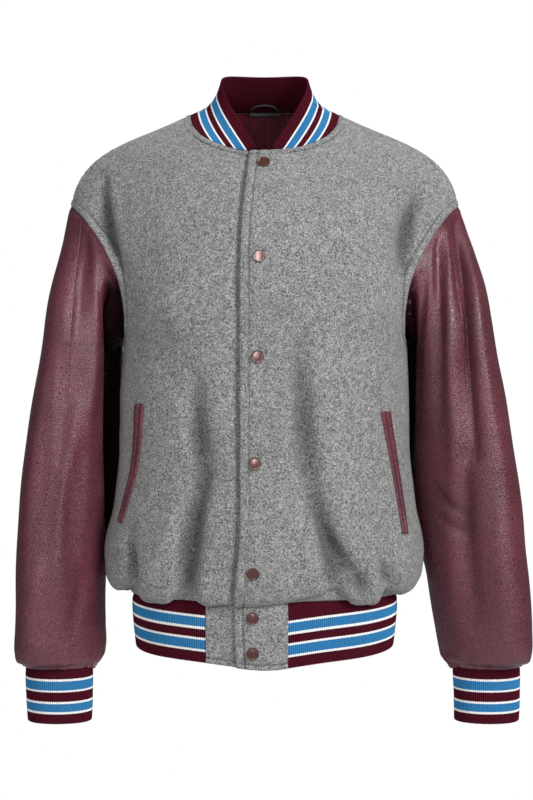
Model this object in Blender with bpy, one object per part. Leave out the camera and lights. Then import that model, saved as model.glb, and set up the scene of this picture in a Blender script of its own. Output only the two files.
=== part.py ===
"""Varsity jacket: wool body, leather sleeves, striped rib knit trims and snap front.

Metres, +Z up. The wearer faces -Y and their left is +X. The origin is the middle of the neck opening
at the height where the collar meets the shoulder seams, where the wearer's shoulders carry the jacket.
Every cloth piece is a wall between an outer surface, lofted through table rows, and an inner one.
Tables are in millimetres, on the wearer's left half; the right half mirrors them.
"""

import math

import bmesh
import bpy
import numpy as np

MM = 0.001

# Walls and seams
WOOL = 2.6
LEATHER = 2.0
RIB_KNIT = 2.0
RIB_RELIEF = 0.7
SATIN = 1.0
SEAM_GAP = 0.38
ON_TOP = 0.45  # clearance under what lies on a panel
SEAM_DIP = 0.38  # drop of the wall's normal at the waist and cuff seams, for one across
SHARP = 50.0  # degrees at which an edge is shaded sharp

# Neck opening, a front and a back half ellipse that tilt up from the front
NECK_HALF_WIDTH = 95.0
NECK_CENTRE_Y = 5.0
NECK_FRONT_REACH = 85.0
NECK_FRONT_DROP = 57.0
NECK_BACK_REACH = 79.0
NECK_BACK_RISE = 16.0
# Rise of the wall's normal at the neck seam, for one across: at the shoulders, in front and behind
NECK_LEAN_SIDE = 0.8
NECK_LEAN_FRONT = 0.25
NECK_LEAN_BACK = 0.6

# Torso rows, from the waist seam up to the shoulder seam. "in" is the centre line, "out" the side seam or
# armhole, and "hin" and "hout" are the handles of the row's cubic between them. From V_NECK up, the rows
# start at the neckline, and their in_y and in_z follow from it.
ROW = ("v", "in_x", "in_y", "in_z", "hin_x", "hin_y", "hin_z",
       "out_x", "out_y", "out_z", "hout_x", "hout_y", "hout_z")
FRONT_ROWS = (
    (0.000, 0, -112, -602, 100, 0, 0, 166, 2, -602, 0, -66, 0),
    (0.012, 0, -120, -599, 110, 0, 0, 180, 2, -598, 0, -72, 0),
    (0.035, 0, -128, -588, 118, 0, 0, 193, 2, -584, 0, -80, 0),
    (0.075, 0, -133, -562, 122, 0, 0, 199, 2, -560, 0, -86, 0),
    (0.190, 0, -139, -490, 119, 0, 0, 190, 3, -490, 0, -92, 0),
    (0.320, 0, -143, -410, 117, 0, 0, 182, 4, -410, 0, -96, 0),
    (0.430, 0, -147, -340, 117, 0, 0, 181, 6, -340, 0, -100, 0),
    (0.520, 0, -150, -287, 117, 0, 0, 178, 10, -287, 0, -104, 0),
    (0.580, 0, -151, -248, 114, 0, 0, 174, -38, -277, -12, -66, 4),
    (0.640, 0, -148, -208, 110, 0, -2, 173, -66, -250, -26, -44, 10),
    (0.700, 0, -141, -168, 106, 0, -4, 179, -74, -215, -42, -36, 18),
    (0.760, 0, -127, -126, 100, 0, -3, 192, -67, -184, -56, -34, 28),
    (0.810, 0, -104, -88, 100, 0, 0, 206, -55, -160, -66, -37, 27),
    (0.860, 0, -80, -57, 100, 0, 0, 219, -42, -142, -66, -29, 39),
    (0.930, 0, 0, 0, 70, -6, -16, 232, -20, -127, -51, -11, 80),
    (1.000, 0, 0, 0, 79, 2, -137, 245, 4, -115, -20, 0, 113),
)
BACK_ROWS = (
    (0.000, 0, 114, -602, 100, 0, 0, 166, 2, -602, 0, 66, 0),
    (0.012, 0, 122, -599, 110, 0, 0, 180, 2, -598, 0, 72, 0),
    (0.035, 0, 131, -588, 118, 0, 0, 193, 2, -584, 0, 80, 0),
    (0.075, 0, 135, -562, 122, 0, 0, 199, 2, -560, 0, 86, 0),
    (0.190, 0, 135, -490, 119, 0, 0, 190, 3, -490, 0, 88, 0),
    (0.320, 0, 135, -410, 117, 0, 0, 182, 4, -410, 0, 92, 0),
    (0.430, 0, 139, -340, 117, 0, 0, 181, 6, -340, 0, 94, 0),
    (0.520, 0, 143, -287, 117, 0, 0, 178, 10, -287, 0, 90, 0),
    (0.580, 0, 145, -242, 116, 0, 0, 176, 52, -276, -10, 52, 4),
    (0.640, 0, 144, -196, 114, 0, -2, 178, 76, -246, -24, 40, 10),
    (0.700, 0, 139, -146, 110, 0, -4, 185, 84, -212, -40, 34, 18),
    (0.760, 0, 128, -94, 100, 0, -10, 195, 80, -181, -54, 32, 32),
    (0.810, 0, 109, -38, 78, 0, 0, 207, 70, -158, -64, 34, 40),
    (0.860, 0, 84, 16, 72, 0, 0, 219, 54, -141, -65, 40, 30),
    (0.930, 0, 0, 0, 98, 19, -51, 231, 34, -127, -52, 19, 57),
    (1.000, 0, 0, 0, 79, 2, -137, 245, 4, -115, -20, 0, 113),
)
V_NECK = 0.86
V_LOWER = (0.0, 0.012, 0.035, 0.075, 0.13, 0.19, 0.25, 0.32, 0.39, 0.455)
V_UPPER = (0.52, 0.56, 0.60, 0.64, 0.68, 0.72, 0.765, 0.81, 0.86, 0.872, 0.895, 0.93, 0.965, 1.0)
PANEL_COLUMNS = 14
ARMHOLE_CORE = (150, 8, -215)  # the armhole seam's walls all point away from here

# Folds fade out towards a panel's seams, over one part in this many of its width or height
MASK_SIDE = 6
MASK_WAIST = 16
MASK_NECK = 8

# Front closure: the left front laps over the right one and over its own half of the hem
LAP_ROW = ("z", "edge_x", "snap_x")
LAP = (
    (-690, -33, -14),
    (-600, -36, -14),
    (-530, -30, -13),
    (-420, -29, -11),
    (-300, -29, -8),
    (-150, -27, -5),
    (-57, -18, 0),
)
UNDERLAP_REACH = 12.0
LAP_RISE = 1.9
LAP_FADE = 42.0
LAP_CLEAR = 6.0  # the right front is already tucked in this far before the edge that covers it
SNAP_HEIGHTS = (-74, -191, -309, -435, -566, -618, -656)
SNAP_RADIUS = 7.4
SNAP_HEIGHT = 2.6
SNAP_SIDES = 16
SNAP_PROFILE = ((0.86, 0.0), (1.0, 0.35), (0.9, 0.72), (0.5, 0.95))  # shares of radius and height

# Hem band, with wool tabs in front and rib knit round the rest
BAND_ROW = ("z", "half_width", "front", "back")
BAND = (
    (-602, 166, 112, 114),
    (-613, 166, 114, 116),
    (-640, 164, 113, 115),
    (-667, 161, 110, 112),
)
BAND_SIDE_Y = 2.0
BAND_SAG = 9.0  # how much lower the hem hangs in front than at the sides
TAB_SAG = 8.0  # further drop of the stiffer wool tabs, as a bell round the closure
TAB_SAG_REACH = 55.0
BAND_ROUND = 0.6  # reach of the oval's handles, in half widths and in depths
BAND_SIDE_ROUND = 0.58
TAB_LEFT_END = 28.0
TAB_RIGHT_END = -71.0
TAB_COLUMNS = 11
BAND_RIBS = 132
BAND_RIBS_PER_FACE = 4

# Sleeves, for each row down the arm: outer and inner edge seen from the front, then front and back, and the
# turn of the front seam, in degrees forward of the outside
SLEEVE_ROW = ("z", "left_out", "right_out", "left_in", "right_in", "front", "back", "tilt", "seam")
SLEEVE = (
    (-262, 275, 267, 182.5, 182.5, -76, 82, 38, 79),
    (-338, 291, 281, 183.5, 183.5, -79, 80, 24, 83),
    (-400, 303, 292, 184.0, 184.0, -80, 77, 17, 86),
    (-470, 314, 301, 189.5, 189.5, -80, 72, 11, 88),
    (-540, 322, 306, 199.5, 199.5, -80, 64, 6, 90),
    (-600, 328, 308, 209.0, 202.5, -78, 54, 3, 91),
    (-645, 329, 309, 216.0, 201.5, -74, 47, 1, 91),
    (-672, 329, 309, 220.0, 201.5, -71, 43, 0, 91),
)
SLEEVE_SKEW = 0.45  # the inside of the oval sits further back than the outside
SLEEVE_RINGS = 21
SLEEVE_SQUARE = 2.25
SEAM_NORMAL_FADE = (1.0, 0.6, 0.25)  # share of the armhole's normal in the first rings of the sleeve
SEAM_V = 0.86  # torso row at whose armhole end the front seam starts
BACK_SEAM_TURN = 215.0
CUFF_ROW = ("z", "width", "depth")
CUFF = (
    (-689, 41.5, 38.5),
    (-702, 42.0, 39.0),
    (-730, 41.0, 38.0),
    (-760, 39.5, 36.5),
)
CUFF_CENTRE = {"left": (278.0, -11.0), "right": (257.0, -11.0)}
CUFF_RIBS = 36
CUFF_RIBS_PER_FACE = 2
BLOUSE = ((6, 0.16), (1.0, 0.55), (-3.2, 0.80))  # drop below the cuff seam and share of the way in to it

# Rib knit collar
COLLAR_HEIGHT_STEPS = 3
COLLAR_RIBS = 88
COLLAR_RIBS_PER_FACE = 4
COLLAR_END_X = 19.0
COLLAR_TOP_SIDE = (55.0, 6.0, 44.0)
COLLAR_TOP_BACK = (0.0, 42.0, 55.0)
COLLAR_TOP_FRONT = (9.5, -79.0, -52.5)
COLLAR_FRONT_HANDLE = (17.0, 28.9, 32.8)
COLLAR_SIDE_HANDLES = ((2.0, -30.0, -22.0), (-1.2, 18.0, 12.0))
COLLAR_BACK_HANDLE = (34.0, 0.0, 0.0)
COLLAR_HOLLOW = 6.0
COLLAR_WIDE = 60.0  # width from which the collar is fully hollowed

# Pocket openings in the fronts, each with two leather welts
POCKET_ROW = ("z", "x")
POCKETS = {
    "left": ((-376, 146.0), (-450, 159.5), (-518, 170.5)),
    "right": ((-367, 151.0), (-440, 157.5), (-505, 175.0)),
}
WELT_WIDTH = 4.6
WELT_SPLIT = 0.7
WELT_THICK = 1.1
WELT_STEPS = 9
WELT_END = 0.86  # share of its width that a welt keeps at its ends
WELT_TURN = 0.78  # how much of a width across the front shows from straight ahead

# Largest soft troughs of the fronts and back: start, end, half width, depth
FOLD_ROW = ("x0", "z0", "x1", "z1", "width", "depth")
FOLD_START = 0.12  # share of the half sine that a trough skips at each end
FOLDS = {
    "front_left": (
        (193, -112, 176, -205, 8, 7),
        (42, -290, 62, -490, 17, 4),
        (62, -480, 88, -592, 15, 6),
        (158, -545, 168, -592, 9, 5),
        (118, -560, 122, -594, 10, 4),
    ),
    "front_right": (
        (199, -98, 184, -178, 8, 7),
        (82, -355, 72, -462, 17, 4),
        (72, -462, 92, -592, 15, 6),
        (156, -545, 158, -592, 9, 5),
        (122, -562, 128, -594, 9, 4),
    ),
    "back": (
        (70, -420, 84, -592, 17, 6),
        (-92, -440, -76, -592, 16, 6),
        (10, -500, 4, -594, 13, 4),
        (140, -540, 150, -594, 10, 5),
        (-136, -530, -148, -594, 11, 5),
    ),
}

# Inside the back neck
LINING_DROP = 150.0
LINING_TOP_GAP = 5.0
LINING_CLEAR = 1.1
LINING_HALF_WIDTH = 84.0
LINING_COLUMNS = 21
LINING_ROWS = 6
LINING_FOLDS = 7
LINING_FOLD_DEPTH = 1.4
LINING_FOLD_TOP = 0.2  # share of that depth at the neck
TAPE_HALF_WIDTH = 33.0
TAPE_HEIGHT = 4.0
TAPE_THICK = 0.8
TAPE_INSIDE = 4.4
TAPE_BELOW = 1.8
TAPE_COLUMNS = 9
LOOP_HALF_WIDTH = 17.0
LOOP_RISE = 7.0
LOOP_LEAN = 15.0
LOOP_RADIUS = 1.5
LOOP_POINTS = 13
LOOP_BOW = 0.7  # below one, the bow is fuller than a half sine

COLOURS = {
    "wool": (0.27, 0.27, 0.27, 1.0),
    "leather": (0.16, 0.045, 0.06, 1.0),
    "knit": (0.06, 0.008, 0.016, 1.0),
    "enamel": (0.19, 0.065, 0.06, 1.0),
    "satin": (0.045, 0.008, 0.012, 1.0),
    "tape": (0.02, 0.02, 0.022, 1.0),
}
ROUGHNESS = {"wool": 0.95, "leather": 0.42, "knit": 0.9, "enamel": 0.3, "satin": 0.35, "tape": 0.8}
METALLIC = {"enamel": 0.6}


# ---------------------------------------------------------------- curves and tables

def unit(vectors):
    """Vectors scaled to length one, along the last axis."""
    vectors = np.asarray(vectors, float)
    return vectors / np.maximum(np.linalg.norm(vectors, axis=-1, keepdims=True), 1e-9)


def smooth(knots, values, at):
    """Cubic through values at rising knots, with finite-difference slopes (Catmull-Rom)."""
    knots = np.asarray(knots, float)
    values = np.asarray(values, float)
    at = np.asarray(at, float)
    slopes = np.gradient(values, knots, axis=0)
    k = np.clip(np.searchsorted(knots, at, side="right") - 1, 0, len(knots) - 2)
    step = knots[k + 1] - knots[k]
    t = (at - knots[k]) / step
    extra = (1,) * (values.ndim - 1)
    t = t.reshape(t.shape + extra)
    step = step.reshape(step.shape + extra)
    first = (2 * t**3 - 3 * t**2 + 1) * values[k] + (t**3 - 2 * t**2 + t) * step * slopes[k]
    last = (3 * t**2 - 2 * t**3) * values[k + 1] + (t**3 - t**2) * step * slopes[k + 1]
    return first + last


def column(table, names, name):
    """One named column of a table."""
    return np.array([row[names.index(name)] for row in table], float)


def lookup(table, names, key, name, at):
    """A column of a table, read off smoothly at values of its key column, and held past its ends."""
    keys = column(table, names, key)
    order = np.argsort(keys)
    keys = keys[order]
    return smooth(keys, column(table, names, name)[order], np.clip(at, keys[0], keys[-1]))


def cubic(p0, p1, p2, p3, t):
    """Points of a cubic with those control points at t."""
    t = np.asarray(t, float)[..., None]
    return (1 - t)**3 * p0 + 3 * (1 - t)**2 * t * p1 + 3 * (1 - t) * t**2 * p2 + t**3 * p3


def ease(t):
    """Smooth step from 0 to 1."""
    t = np.clip(t, 0.0, 1.0)
    return t * t * (3 - 2 * t)


def along(points, shares):
    """Points at shares of a polyline's length."""
    points = np.asarray(points, float)
    lengths = np.concatenate([[0.0], np.cumsum(np.linalg.norm(np.diff(points, axis=0), axis=1))])
    at = np.asarray(shares) * lengths[-1]
    return np.stack([np.interp(at, lengths, points[:, i]) for i in range(3)], -1)


def neckline(turn):
    """Neck opening at an angle: 0 at the wearer's left shoulder, -90 at the front, 90 at the back."""
    turn = np.radians(turn)
    ahead = np.sin(turn) < 0
    reach = np.where(ahead, NECK_FRONT_REACH, NECK_BACK_REACH)
    rise = np.where(ahead, NECK_FRONT_DROP, NECK_BACK_RISE)
    return np.stack([NECK_HALF_WIDTH * np.cos(turn), NECK_CENTRE_Y + reach * np.sin(turn),
                     rise * np.sin(turn)], -1)


# ---------------------------------------------------------------- normals shared by the pieces at a seam

def armhole_normal(points):
    return unit(points - np.array(ARMHOLE_CORE, float))


def neck_normal(points):
    """Outwards and up, leaning further up at the shoulders than in front."""
    flat = points - np.array([0.0, NECK_CENTRE_Y, 0.0])
    flat[..., 2] = 0.0
    share = 1 - np.abs(points[..., 0]) / NECK_HALF_WIDTH
    ahead = points[..., 1] < NECK_CENTRE_Y
    middle = np.where(ahead, NECK_LEAN_FRONT, NECK_LEAN_BACK)
    normal = unit(flat)
    normal[..., 2] = NECK_LEAN_SIDE + (middle - NECK_LEAN_SIDE) * share
    return unit(normal)


def band_normals(points):
    """Level normals of the hem band's oval."""
    width, front = (BAND[0][BAND_ROW.index(name)] for name in ("half_width", "front"))
    return unit(points * np.array([1 / width**2, 1 / front**2, 0.0]))


def waist_normal(points):
    """Outwards from the band's oval and a little down."""
    normal = band_normals(points)
    normal[..., 2] = -SEAM_DIP
    return unit(normal)


def grid_normals(grid):
    """Outward normals of a grid of points, by finite differences."""
    across = np.gradient(grid, axis=0)
    up = np.gradient(grid, axis=1)
    normals = unit(np.cross(across, up))
    centre = grid.reshape(-1, 3).mean(0) * np.array([0.2, 0.0, 1.0])
    if np.sum((grid - centre) * normals) < 0:
        normals = -normals
    return normals


# ---------------------------------------------------------------- torso

def row_points(rows, t):
    """Points of torso rows; t runs from the centre line to the armhole, and below zero beyond the centre."""
    points = cubic(rows[..., 0:3], rows[..., 0:3] + rows[..., 3:6], rows[..., 6:9] + rows[..., 9:12],
                   rows[..., 6:9], np.abs(t))
    points[..., 0] *= np.where(t < 0, -1.0, 1.0)
    return points


def torso_rows(rows, v):
    """Row parameters at v, and the t at which each row meets the neckline or, below it, the centre line."""
    back = rows is BACK_ROWS
    table = np.array(rows, float)
    found = smooth(table[:, 0], table[:, 1:], v)
    below = table[:-2]
    found[:, 0:3] = smooth(below[:, 0], below[:, 1:4], np.minimum(v, V_NECK))
    start = np.zeros(len(v))
    above = v > V_NECK
    turn = 90.0 * (1 - (v[above] - V_NECK) / (1 - V_NECK)) * (1 if back else -1)
    neck = neckline(turn)
    upper = found[above]
    upper[:, 0:3] = 0.0
    dense = np.linspace(0, 0.8, 801)
    across = row_points(upper[:, None], dense[None, :] * np.ones((len(upper), 1)))[..., 0]
    start[above] = [np.interp(x, row, dense) for x, row in zip(neck[:, 0], across)]
    t = start[above]
    share = (1 - t)**2 * (1 + 2 * t)  # weight of the row's first point at the neckline
    upper[:, 1:3] = (neck - row_points(upper, t))[:, 1:3] / share[:, None]
    found[above] = upper
    return found, start


def panel_grid(rows, edge_of=None):
    """Half panel on the wearer's left: columns from the centre or lap edge out, rows from the waist up."""
    v = np.array(V_LOWER + V_UPPER)
    table, start = torso_rows(rows, v)
    if edge_of is not None:
        dense = np.linspace(-0.5, 1.0, 301)
        for k in np.flatnonzero(v <= V_NECK):
            across = row_points(table[k], dense)[:, 0]
            start[k] = np.interp(edge_of(table[k, 2]), across, dense)
    t = start + (1 - start) * np.linspace(0, 1, PANEL_COLUMNS)[:, None]
    return row_points(table, t)


def fold_depth(points, folds):
    """Depth of the soft troughs at points, from their distance to each fold's line seen from the front."""
    depth = np.zeros(points.shape[:-1])
    for row in folds:
        fold = dict(zip(FOLD_ROW, row))
        line = np.array([fold["x1"] - fold["x0"], fold["z1"] - fold["z0"]], float)
        off = points[..., [0, 2]] - np.array([fold["x0"], fold["z0"]], float)
        share = np.clip(off @ line / (line @ line), 0.0, 1.0)
        gap = np.linalg.norm(off - share[..., None] * line, axis=-1)
        fade = np.sin(np.pi * (FOLD_START + (1 - 2 * FOLD_START) * share))
        depth += fold["depth"] * fade * np.exp(-(gap / fold["width"])**2)
    return depth


def edge_mask(shape, first_column_free=False):
    """Zero on the seams of a panel and one inside it."""
    across = np.linspace(0, 1, shape[0])[:, None]
    up = np.linspace(0, 1, shape[1])[None, :]
    mask = ease((1 - across) * MASK_SIDE) * ease(up * MASK_WAIST) * ease((1 - up) * MASK_NECK)
    return mask if first_column_free else mask * ease(across * MASK_NECK)


def seam_columns(normals, grid, neck_from):
    """Normals of a half panel with the shared ones set along its seams."""
    normals[:, -1] = unit(np.stack([-np.gradient(grid[:, -1, 2]), np.zeros(len(grid)),
                                    np.gradient(grid[:, -1, 0])], -1))
    up = np.gradient(grid[-1], axis=0)
    normals[-1] = unit(np.stack([up[:, 2], np.zeros(len(up)), -up[:, 0]], -1))
    under = len(V_LOWER)
    normals[-1, under:] = armhole_normal(grid[-1, under:])
    normals[0, neck_from:] = neck_normal(grid[0, neck_from:])
    normals[:, 0] = waist_normal(grid[:, 0])
    return normals


def tuck_in(outer, inner, shared):
    """Both faces of a grid pulled back from the seams named in shared by half the seam gap."""
    places = {"left": (np.s_[0, :], np.s_[1, :]), "right": (np.s_[-1, :], np.s_[-2, :]),
              "bottom": (np.s_[:, 0], np.s_[:, 1]), "top": (np.s_[:, -1], np.s_[:, -2])}
    moves = []
    for name in shared:
        seam, beside = places[name]
        run = unit(np.gradient(outer[seam], axis=0))
        away = outer[beside] - outer[seam]
        away = unit(away - run * np.sum(away * run, axis=-1, keepdims=True))
        moves.append((seam, away * SEAM_GAP / 2))
    outer = outer.copy()
    inner = inner.copy()
    for seam, move in moves:
        outer[seam] += move
        inner[seam] += move
    return outer, inner


def lap_edge(z):
    return lookup(LAP, LAP_ROW, "z", "edge_x", z)


def lap_rise(x, z, left):
    """How far a front stands off the common surface where the two lap: out on the left, in on the right."""
    if left:
        return LAP_RISE * ease((UNDERLAP_REACH + LAP_FADE - x) / LAP_FADE)
    return -LAP_RISE * ease((x - (lap_edge(z) - LAP_CLEAR - LAP_FADE)) / LAP_FADE)


def underlap_edge(z):
    return np.full(np.shape(z), -UNDERLAP_REACH)


def front_panel(side):
    """Outer and inner grids of one front. The right one's also lie on the wearer's left, to be mirrored."""
    left = side == "left"
    base = panel_grid(FRONT_ROWS, lap_edge if left else underlap_edge)
    neck_from = V_UPPER.index(V_NECK) + len(V_LOWER)
    normals = seam_columns(grid_normals(base), base, neck_from)
    world_x = base[..., 0] if left else -base[..., 0]
    folds = FOLDS["front_" + side]
    base = base - normals * (fold_depth(base, folds) * edge_mask(base.shape[:2], True))[..., None]
    base = base + normals * lap_rise(world_x, base[..., 2], left)[..., None]
    return tuck_in(base, base - normals * WOOL, ("right", "top", "bottom"))


def mirrored(grid):
    return grid * np.array([-1.0, 1.0, 1.0])


def back_halves():
    """Outer and inner grids of the back's left and right halves, which meet on the centre line."""
    halves = []
    front_edge = panel_grid(FRONT_ROWS)[-1]
    under = len(V_LOWER) + 1
    neck_from = V_UPPER.index(V_NECK) + len(V_LOWER)
    for sign in (1, -1):
        base = panel_grid(BACK_ROWS)
        base[-1, :under] = front_edge[:under]
        normals = seam_columns(grid_normals(base), base, neck_from)
        normals[0, :neck_from, 0] = 0.0
        normals = unit(normals)
        seen = base * np.array([sign, 1.0, 1.0])
        depth = fold_depth(seen, FOLDS["back"]) * edge_mask(base.shape[:2], True)
        base = base - normals * depth[..., None]
        outer, inner = tuck_in(base, base - normals * WOOL, ("right", "top", "bottom"))
        if sign < 0:
            outer, inner = mirrored(outer), mirrored(inner)
        halves.append((outer, inner))
    return halves


# ---------------------------------------------------------------- sleeves

def armhole_loop():
    """Armhole seam on the wearer's left: from the shoulder tip down the front, under and up the back."""
    under = len(V_LOWER)
    front = panel_grid(FRONT_ROWS)[-1, under:][::-1]
    back = panel_grid(BACK_ROWS)[-1, under:]
    return np.vstack([front, back[1:-1]])


def sleeve_turns(loop):
    """Angles of the sleeve's points, as they are spaced round the armhole: 0 outside, then forwards."""
    steps = np.linalg.norm(np.diff(np.vstack([loop, loop[:1]]), axis=0), axis=1)
    reach = np.concatenate([[0.0], np.cumsum(steps)])
    under = len(V_UPPER) - 1
    return np.interp(reach[:-1], (0.0, reach[under], reach[-1]), (0.0, math.pi, 2 * math.pi))


def seam_column():
    """Column of the sleeve's grid that the front seam follows."""
    return len(V_UPPER) - 1 - V_UPPER.index(SEAM_V)


def seam_turns(turns, seam):
    """The same angles drawn round evenly, so that the front seam's column stands at the named one."""
    behind = turns[int(np.argmin(np.abs(turns - math.radians(BACK_SEAM_TURN))))]
    return np.interp(turns, (0.0, turns[seam_column()], behind, 2 * math.pi),
                     (0.0, math.radians(seam), behind, 2 * math.pi))


def sleeve_ring(values, turns):
    """One oval ring from a table row's out, in, front, back, z and tilt."""
    out, inside, front, back, z, tilt = values
    power = 2 / SLEEVE_SQUARE
    c, s = np.cos(turns), np.sin(turns)
    half = (out - inside) / 2
    across = half * np.sign(c) * np.abs(c)**power
    ahead = np.sign(s) * np.abs(s)**power
    middle_y = (front + back) / 2
    depth = (back - front) / 2
    return np.stack([(out + inside) / 2 + across, middle_y - depth * ahead - SLEEVE_SKEW * across,
                     z + across * math.tan(math.radians(tilt))], -1)


def sleeve_surface(side):
    """Grid of the sleeve tube: points round it and rings from the armhole to the cuff seam."""
    loop = armhole_loop()
    turns = sleeve_turns(loop)
    rings = [loop]
    for row in SLEEVE:
        values = dict(zip(SLEEVE_ROW, row))
        names = (side + "_out", side + "_in", "front", "back", "z", "tilt")
        rings.append(sleeve_ring([values[name] for name in names], seam_turns(turns, values["seam"])))
    seam = cuff_ring(side, CUFF[0], seam_turns(turns, SLEEVE[-1][SLEEVE_ROW.index("seam")]))
    last = rings[-1]
    for drop, share in BLOUSE:
        ring = last + (seam - last) * share
        ring[:, 2] = CUFF[0][0] + drop
        rings.append(ring)
    rings.append(seam)
    rings = np.array(rings)
    spans = np.linalg.norm(np.diff(rings, axis=0), axis=2).mean(1)
    knots = np.concatenate([[0.0], np.cumsum(spans)])
    body = np.linspace(0, knots[len(SLEEVE)], SLEEVE_RINGS - len(BLOUSE) - 1)
    at = np.concatenate([body, knots[len(SLEEVE) + 1:]])
    return smooth(knots, rings, at).transpose(1, 0, 2), turns


def cuff_ring(side, row, turns):
    """Oval ring of a cuff row; the angle runs as on the sleeve."""
    z, width, depth = row
    x, y = CUFF_CENTRE[side]
    return np.stack([x + width * np.cos(turns), y - depth * np.sin(turns), np.full(len(turns), float(z))], -1)


def sleeve_walls(side):
    """Outer and inner grids of the whole sleeve tube, as if it were one piece."""
    grid, turns = sleeve_surface(side)
    around = np.concatenate([grid[-1:], grid, grid[:1]])
    normals = unit(np.cross(np.gradient(around, axis=0), np.gradient(around, axis=1)))[1:-1]
    middle = grid.mean(0, keepdims=True)
    if np.sum((grid - middle) * normals) < 0:
        normals = -normals
    for ring, share in enumerate(SEAM_NORMAL_FADE):
        normals[:, ring] = unit(normals[:, ring] * (1 - share) + armhole_normal(grid[:, ring]) * share)
    seam = unit(grid[:, -1] - np.array([*CUFF_CENTRE[side], CUFF[0][0]]))
    seam[:, 2] = -SEAM_DIP
    normals[:, -1] = unit(seam)
    return tuck_in(grid, grid - normals * LEATHER, ("top", "bottom")) + (turns,)


# ---------------------------------------------------------------- meshes

def new_object(name, vertices, faces, material, collection):
    """Mesh object from points in millimetres, with its faces turned outwards."""
    mesh = bpy.data.meshes.new(name)
    points = [tuple(point) for point in np.asarray(vertices) * MM]
    mesh.from_pydata(points, [], [tuple(int(i) for i in face) for face in faces])
    work = bmesh.new()
    work.from_mesh(mesh)
    bmesh.ops.remove_doubles(work, verts=work.verts, dist=1e-7)
    bmesh.ops.recalc_face_normals(work, faces=work.faces)
    work.to_mesh(mesh)
    work.free()
    mesh.shade_smooth()
    mesh.set_sharp_from_angle(angle=math.radians(SHARP))
    mesh.materials.append(material)
    thing = bpy.data.objects.new(name, mesh)
    collection.objects.link(thing)
    return thing


def grid_faces(columns, rows, wrap=False):
    """Quads of a grid whose points are numbered column by column."""
    faces = []
    for i in range(columns if wrap else columns - 1):
        j = (i + 1) % columns
        for k in range(rows - 1):
            faces.append((i * rows + k, j * rows + k, j * rows + k + 1, i * rows + k + 1))
    return faces


def close_wall(outer, inner, faces):
    """Vertices and faces of a closed wall between two like-numbered sheets, with a rim on every free edge."""
    count = len(outer)
    seen = {}
    for face in faces:
        for a, b in zip(face, face[1:] + face[:1]):
            seen.setdefault((min(a, b), max(a, b)), []).append((a, b))
    rims = []
    for a, b in (uses[0] for uses in seen.values() if len(uses) == 1):
        # cut from the lower outer to the higher inner point, so the two sides of a seam match
        low, high = min(a, b), max(a, b)
        rims.append((b, a, high + count))
        rims.append((low, low + count, high + count) if a == low else (low, high + count, low + count))
    back = [tuple(i + count for i in reversed(face)) for face in faces]
    return np.vstack([outer, inner]), list(faces) + back + rims


def sheet_object(name, grids, material, collection):
    """Wall from one or more pairs of outer and inner grids that share their first column."""
    outer = np.vstack([pair[0].reshape(-1, 3) for pair in grids])
    inner = np.vstack([pair[1].reshape(-1, 3) for pair in grids])
    faces = []
    start = 0
    for pair in grids:
        columns, rows = pair[0].shape[:2]
        faces += [tuple(i + start for i in face) for face in grid_faces(columns, rows)]
        start += columns * rows
    first = {}
    names = []
    for i, point in enumerate(outer):
        names.append(first.setdefault(tuple(np.round(point, 3)), i))
    faces = [tuple(names[i] for i in face) for face in faces]
    vertices, faces = close_wall(outer, inner, faces)
    used = sorted({i for face in faces for i in face})
    place = {old: new for new, old in enumerate(used)}
    faces = [tuple(place[i] for i in face) for face in faces]
    return new_object(name, vertices[used], faces, material, collection)


def ribbed_object(name, outer, normals, per_face, material, collection, wrap=False):
    """Knit wall: ribs raised in every second column of the outer points over a plain, coarser inside.

    The ribs start at the seam row. The inside keeps one point for every per_face ribs.
    """
    outer = outer.copy()
    columns, rows = outer.shape[:2]
    relief = np.zeros((columns, rows))
    relief[1::2, 1:] = RIB_RELIEF
    inner = outer - normals * RIB_KNIT
    step = 2 * per_face
    keep = np.arange(0, columns, step)
    if not wrap and keep[-1] != columns - 1:
        keep = np.append(keep, columns - 1)
    outer = outer + normals * relief[..., None]
    inner = inner[keep]
    vertices = np.vstack([outer.reshape(-1, 3), inner.reshape(-1, 3)])
    start = columns * rows
    faces = grid_faces(columns, rows, wrap)
    faces += [tuple(start + i for i in reversed(face)) for face in grid_faces(len(keep), rows, wrap)]
    ends = list(keep) + ([columns] if wrap else [])
    for n in range(len(ends) - 1):
        cols = [c % columns for c in range(ends[n], ends[n + 1] + 1)]
        a = start + n * rows
        b = start + ((n + 1) % len(keep)) * rows
        faces.append(tuple([c * rows for c in reversed(cols)] + [a, b]))
        faces.append(tuple([c * rows + rows - 1 for c in cols] + [b + rows - 1, a + rows - 1]))
    if not wrap:
        last = start + (len(keep) - 1) * rows
        for k in range(rows - 1):
            faces.append((k, k + 1, start + k + 1, start + k))
            edge = (columns - 1) * rows
            faces.append((edge + k + 1, edge + k, last + k, last + k + 1))
    return new_object(name, vertices, faces, material, collection)


def make_material(name):
    material = bpy.data.materials.new(name)
    material.use_nodes = True
    shader = material.node_tree.nodes["Principled BSDF"]
    shader.inputs["Base Color"].default_value = COLOURS[name]
    shader.inputs["Roughness"].default_value = ROUGHNESS[name]
    shader.inputs["Metallic"].default_value = METALLIC.get(name, 0.0)
    return material


# ---------------------------------------------------------------- pieces

def build_body(materials, collection):
    """The two fronts and the one-piece back. Returns the fronts' grids for what lies on them."""
    fronts = {}
    for side in ("left", "right"):
        outer, inner = front_panel(side)
        if side == "right":
            outer, inner = mirrored(outer), mirrored(inner)
        fronts[side] = (outer, inner)
        sheet_object("front_" + side, [(outer, inner)], materials["wool"], collection)
    backs = back_halves()
    sheet_object("back", backs, materials["wool"], collection)
    return fronts, backs


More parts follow.
